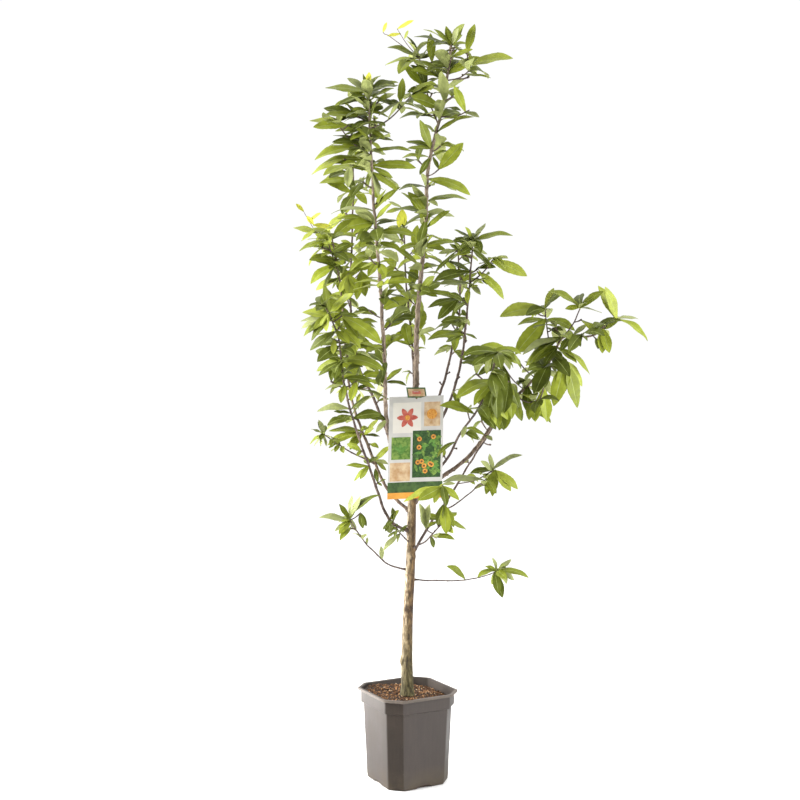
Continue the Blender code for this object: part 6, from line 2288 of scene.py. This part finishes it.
def petal_mesh(across, down, length, width, turn, lift):
    """A pointed oval motif that lies on the sheet."""
    rim = []
    for index in range(12):
        share = index / 12
        angle = 2 * math.pi * share
        u, v = math.cos(angle) * length / 2, math.sin(angle) ** 3 * 0.35 + math.sin(angle) * 0.65
        v *= width / 2
        x = u * math.cos(turn) - v * math.sin(turn)
        y = u * math.sin(turn) + v * math.cos(turn)
        rim.append(label_place(across + x / LABEL_WIDTH, down + y / LABEL_HEIGHT, lift))
    return [label_place(across, down, lift), *rim], [(1 + (index + 1) % 12, 1 + index, 0) for index in range(12)]


def build_label(routes):
    """A curved printed sheet with plain motifs, a bordered header flap and a collar on the leader."""
    draft = Draft()
    width = LABEL_COLUMNS + 1
    for lift in (LABEL_THICKNESS / 2, -LABEL_THICKNESS / 2):
        places = []
        for row in range(LABEL_ROWS + 1):
            for column in range(width):
                places.append(label_place(column / LABEL_COLUMNS - 0.5, row / LABEL_ROWS, lift))
        faces, inks = [], []
        for row in range(LABEL_ROWS):
            for column in range(LABEL_COLUMNS):
                low = row * width + column
                face = (low, low + width, low + width + 1, low + 1)
                faces.append(face if lift > 0 else tuple(reversed(face)))
                ink = panel_ink((column + 0.5) / LABEL_COLUMNS - 0.5, (row + 0.5) / LABEL_ROWS)
                inks.append(ink if lift > 0 else 0)
        draft.add(places, faces, inks)
    rim = []
    count = (LABEL_ROWS + 1) * width
    border = [row * width for row in range(LABEL_ROWS + 1)]
    border += [LABEL_ROWS * width + column for column in range(1, width)]
    border += [row * width + width - 1 for row in range(LABEL_ROWS - 1, -1, -1)]
    border += [column for column in range(width - 2, 0, -1)]
    for before, after in zip(border, border[1:] + border[:1]):
        rim.append((after, before, before + count, after + count))
    draft.faces += rim
    draft.finishes += [0] * len(rim)
    rng = random.Random(SEED * 5)
    lift = LABEL_THICKNESS / 2 + 0.00015
    for index in range(46):
        across, down = rng.uniform(-0.03, 0.43), rng.uniform(0.37, 0.77)
        draft.add(*petal_mesh(across, down, 0.020, 0.007, rng.uniform(0, 3.14), lift + 0.00003 * (index % 4)),
                  rng.choice((3, 5, 8)))
    for index in range(9):
        across, down = rng.uniform(0.02, 0.38), rng.uniform(0.40, 0.74)
        draft.add(*disc_mesh(across, down, 0.0060, lift + 0.0002), 7)
        draft.add(*disc_mesh(across, down, 0.0026, lift + 0.0003), 9)
    for index in range(6):
        angle = index * math.pi / 3
        across = -0.16 + 0.10 * math.cos(angle)
        down = 0.21 + 0.10 * math.sin(angle) * LABEL_WIDTH / LABEL_HEIGHT
        draft.add(*petal_mesh(across, down, 0.026, 0.013, angle, lift), 10)
    draft.add(*disc_mesh(-0.16, 0.21, 0.0065, lift + 0.0001), 7)
    for index in range(5):
        draft.add(*petal_mesh(-0.27 + 0.035 * (index - 2), 0.51 + 0.02 * (index % 2), 0.022, 0.009,
                              0.5 + 0.5 * index, lift), 8)
    draft.add(*disc_mesh(0.29, 0.18, 0.013, lift), 7)
    draft.add(*disc_mesh(0.0, 0.018, 0.0028, lift), 9)
    top = on_tree(LABEL_TOP)
    card = 0.0010
    header_z = top.z + HEADER_HEIGHT / 2 - 0.004

    def card_box(middle, size, finish, slant=0.0):
        corners = []
        for z in (-0.5, 0.5):
            for y in (-0.5, 0.5):
                for x in (-0.5, 0.5):
                    corners.append(Vector(middle) + Vector((x * size[0] - slant * z, y * size[1], z * size[2])))
        faces = [(0, 2, 3, 1), (4, 5, 7, 6), (0, 1, 5, 4), (2, 6, 7, 3), (0, 4, 6, 2), (1, 3, 7, 5)]
        draft.add(corners, faces, finish)

    header = (top.x, top.y + 0.0052, header_z)
    card_box(header, (HEADER_WIDTH * 0.92, card, HEADER_HEIGHT), 5, 0.004)
    card_box((header[0], header[1] - card * 0.55, header[2]), (HEADER_WIDTH * 0.78, card * 0.3, HEADER_HEIGHT * 0.70), 2, 0.003)
    card_box((header[0], header[1] - card * 0.75, header[2]), (HEADER_WIDTH * 0.40, card * 0.3, HEADER_HEIGHT * 0.28), 10, 0.001)
    axis = point_at_height(routes["leader"], COLLAR_Z)
    ring, collar_faces, sides = [], [], 28
    for radius, z in ((COLLAR_RADIUS, -0.5), (COLLAR_RADIUS, 0.5), (COLLAR_RADIUS - 0.0010, 0.5), (COLLAR_RADIUS - 0.0010, -0.5)):
        for index in range(sides):
            angle = 2 * math.pi * index / sides
            ring.append(Vector((axis.x + radius * math.cos(angle), axis.y + radius * math.sin(angle),
                                COLLAR_Z + z * COLLAR_HEIGHT)))
    for band in range(4):
        for index in range(sides):
            after = (index + 1) % sides
            low, high = band * sides, ((band + 1) % 4) * sides
            collar_faces.append((low + index, low + after, high + after, high + index))
    draft.add(ring, collar_faces, 0)
    card_box((axis.x, (axis.y - COLLAR_RADIUS + top.y) / 2 + 0.002, COLLAR_Z),
             (0.012, abs(top.y - axis.y) - COLLAR_RADIUS + 0.002, card), 0)
    looks = [
        print_look("print_pale", (0.40, 0.39, 0.37), (0.46, 0.45, 0.43), 30.0),
        print_look("print_white", (0.52, 0.495, 0.445), (0.575, 0.55, 0.50), 20.0),
        print_look("print_sand", (0.34, 0.20, 0.09), (0.50, 0.38, 0.24), 60.0),
        print_look("print_grass", (0.045, 0.12, 0.015), (0.17, 0.26, 0.05), 140.0),
        print_look("print_leafy", (0.010, 0.035, 0.008), (0.035, 0.085, 0.018), 190.0),
        print_look("print_green", (0.022, 0.050, 0.014), (0.060, 0.110, 0.030), 70.0),
        print_look("print_orange", (0.50, 0.20, 0.025), (0.62, 0.29, 0.05), 25.0),
        print_look("print_fruit", (0.38, 0.14, 0.02), (0.58, 0.29, 0.05), 260.0),
        print_look("print_leaf", (0.060, 0.16, 0.022), (0.11, 0.23, 0.045), 160.0),
        print_look("print_eye", (0.08, 0.035, 0.010), (0.13, 0.06, 0.016), 260.0),
        print_look("print_rose", (0.33, 0.055, 0.040), (0.42, 0.11, 0.075), 90.0),
    ]
    label = draft.piece("printed_label", looks, 40)
    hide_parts("hang_label")
    return label


# Light, floor and camera


def aim(thing, target):
    """Turn an object's -Z towards a place."""
    way = Vector(target) - thing.location
    thing.rotation_euler = way.to_track_quat("-Z", "Y").to_euler()


def area_light(name, place, target, size, power, colour=(1.0, 1.0, 1.0)):
    """A soft box light, wide and tall by a size."""
    lamp = bpy.data.lights.new(name, "AREA")
    lamp.shape = "RECTANGLE"
    lamp.size = size[0]
    lamp.size_y = size[1]
    lamp.energy = power
    lamp.color = colour
    thing = bpy.data.objects.new(name, lamp)
    bpy.context.scene.collection.objects.link(thing)
    thing.location = place
    thing.visible_camera = False
    aim(thing, target)


def build_studio():
    """A pale floor, a white surround, soft lights and the camera."""
    bm = bmesh.new()
    bmesh.ops.create_grid(bm, x_segments=2, y_segments=2, size=14.0)
    mesh = bpy.data.meshes.new("floor")
    bm.to_mesh(mesh)
    bm.free()
    material, nodes, links, shader = new_look("floor_paint", (0.97, 0.97, 0.97), 0.8)
    mottle = noise_of(nodes, links, coords(nodes, links), 2.0, 2.0)
    links.new(ramp_of(nodes, links, mottle, ((0.3, (0.96, 0.96, 0.96)), (0.7, (0.975, 0.975, 0.97)))),
              shader.inputs["Base Color"])
    mesh.materials.append(material)
    floor = bpy.data.objects.new("floor", mesh)
    bpy.context.scene.collection.objects.link(floor)
    world = bpy.data.worlds.new("surround")
    world.use_nodes = True
    nodes, links = world.node_tree.nodes, world.node_tree.links
    way = nodes.new("ShaderNodeTexCoord")
    split = nodes.new("ShaderNodeSeparateXYZ")
    links.new(way.outputs["Generated"], split.inputs["Vector"])
    strength = range_of(nodes, links, split.outputs["Y"], -0.75, 0.45, 0.48, 1.02)
    nodes["Background"].inputs["Color"].default_value = (1.0, 1.0, 1.0, 1.0)
    links.new(strength, nodes["Background"].inputs["Strength"])
    bpy.context.scene.world = world
    sky = bpy.data.lights.new("ceiling", "SUN")
    sky.energy = 1.3
    sky.angle = 1.4
    ceiling = bpy.data.objects.new("ceiling", sky)
    bpy.context.scene.collection.objects.link(ceiling)
    ceiling.location = (-1.0, 0.6, 4.0)
    aim(ceiling, (0.0, 0.0, 0.5))
    area_light("key", (-2.5, -0.5, 1.5), (0.0, 0.0, 1.0), (1.2, 2.2), 190.0, (1.0, 0.985, 0.96))
    area_light("fill", (2.7, -0.9, 1.6), (0.0, 0.0, 1.0), (1.2, 2.2), 120.0)
    area_light("edge", (-1.3, 0.85, 0.45), (0.0, 0.0, 0.15), (0.7, 0.9), 34.0, (1.0, 0.96, 0.92))
    camera = bpy.data.cameras.new("camera")
    camera.lens = CAMERA_LENS
    camera.sensor_width = SENSOR_WIDTH
    camera.sensor_fit = "HORIZONTAL"
    eye = bpy.data.objects.new("camera", camera)
    bpy.context.scene.collection.objects.link(eye)
    eye.location = CAMERA_PLACE
    eye.rotation_euler = (math.pi / 2, 0.0, 0.0)
    bpy.context.scene.camera = eye
    bpy.context.scene.view_settings.view_transform = "Standard"


def solid_tree(places, faces):
    """A search tree of a body's faces."""
    return BVHTree.FromPolygons([tuple(place) for place in places], faces)


def main():
    """Dress the whole plant."""
    routes = all_routes()
    build_studio()
    build_pot()
    build_soil()
    build_trunk(routes)
    wood = {
        "grey": bark_look("bark_grey", (0.058, 0.040, 0.030), (0.165, 0.125, 0.096), (0.330, 0.270, 0.215)),
        "brown": bark_look("bark_brown", (0.042, 0.025, 0.017), (0.115, 0.078, 0.056), (0.250, 0.195, 0.150)),
        "dark": bark_look("bark_dark", (0.024, 0.015, 0.013), (0.066, 0.042, 0.035), (0.155, 0.115, 0.098)),
    }
    build_boughs(routes, wood)
    label = build_label(routes)
    solids = []
    for shoot in SHOOTS:
        points = routes[shoot.name]
        radii = [taper_at(index / (len(points) - 1), shoot) + 0.0006 for index in range(len(points))]
        solids.append(solid_tree(*tube_mesh(points, radii, 6)))
    trunk = routes["trunk"]
    solids.append(solid_tree(*tube_mesh(trunk, [trunk_radius(p.z - GROUND_Z) + 0.001 for p in trunk], 8)))
    sheet = [label_place(across, down) for down in (0, 0.25, 0.5, 0.75, 1.0) for across in (-0.5, 0.0, 0.5)]
    solids.append(solid_tree(sheet, [(r * 3 + c, r * 3 + c + 1, r * 3 + c + 4, r * 3 + c + 3)
                                     for r in range(4) for c in range(2)]))
    solids.append(solid_tree([Vector((0, 0, SOIL_EDGE_Z)) + Vector((x * 0.15, y * 0.15, 0)) for x, y in
                              ((-1, -1), (1, -1), (1, 1), (-1, 1))], [(0, 1, 2, 3)]))
    crown = grow_crown(routes, solids)
    tints = [leaf_look(name, colour) for name, colour in LEAF_TINTS.items()]
    under = leaf_look("leaf_under", UNDERSIDE, 0.62)
    rib = leaf_look("leaf_rib", RIB, 0.50)
    build_foliage(crown, tints, under, rib, wood["dark"])
    print("leaves", {region: len(leaves) for region, leaves in crown.leaves.items()},
          sum(len(leaves) for leaves in crown.leaves.values()))


main()
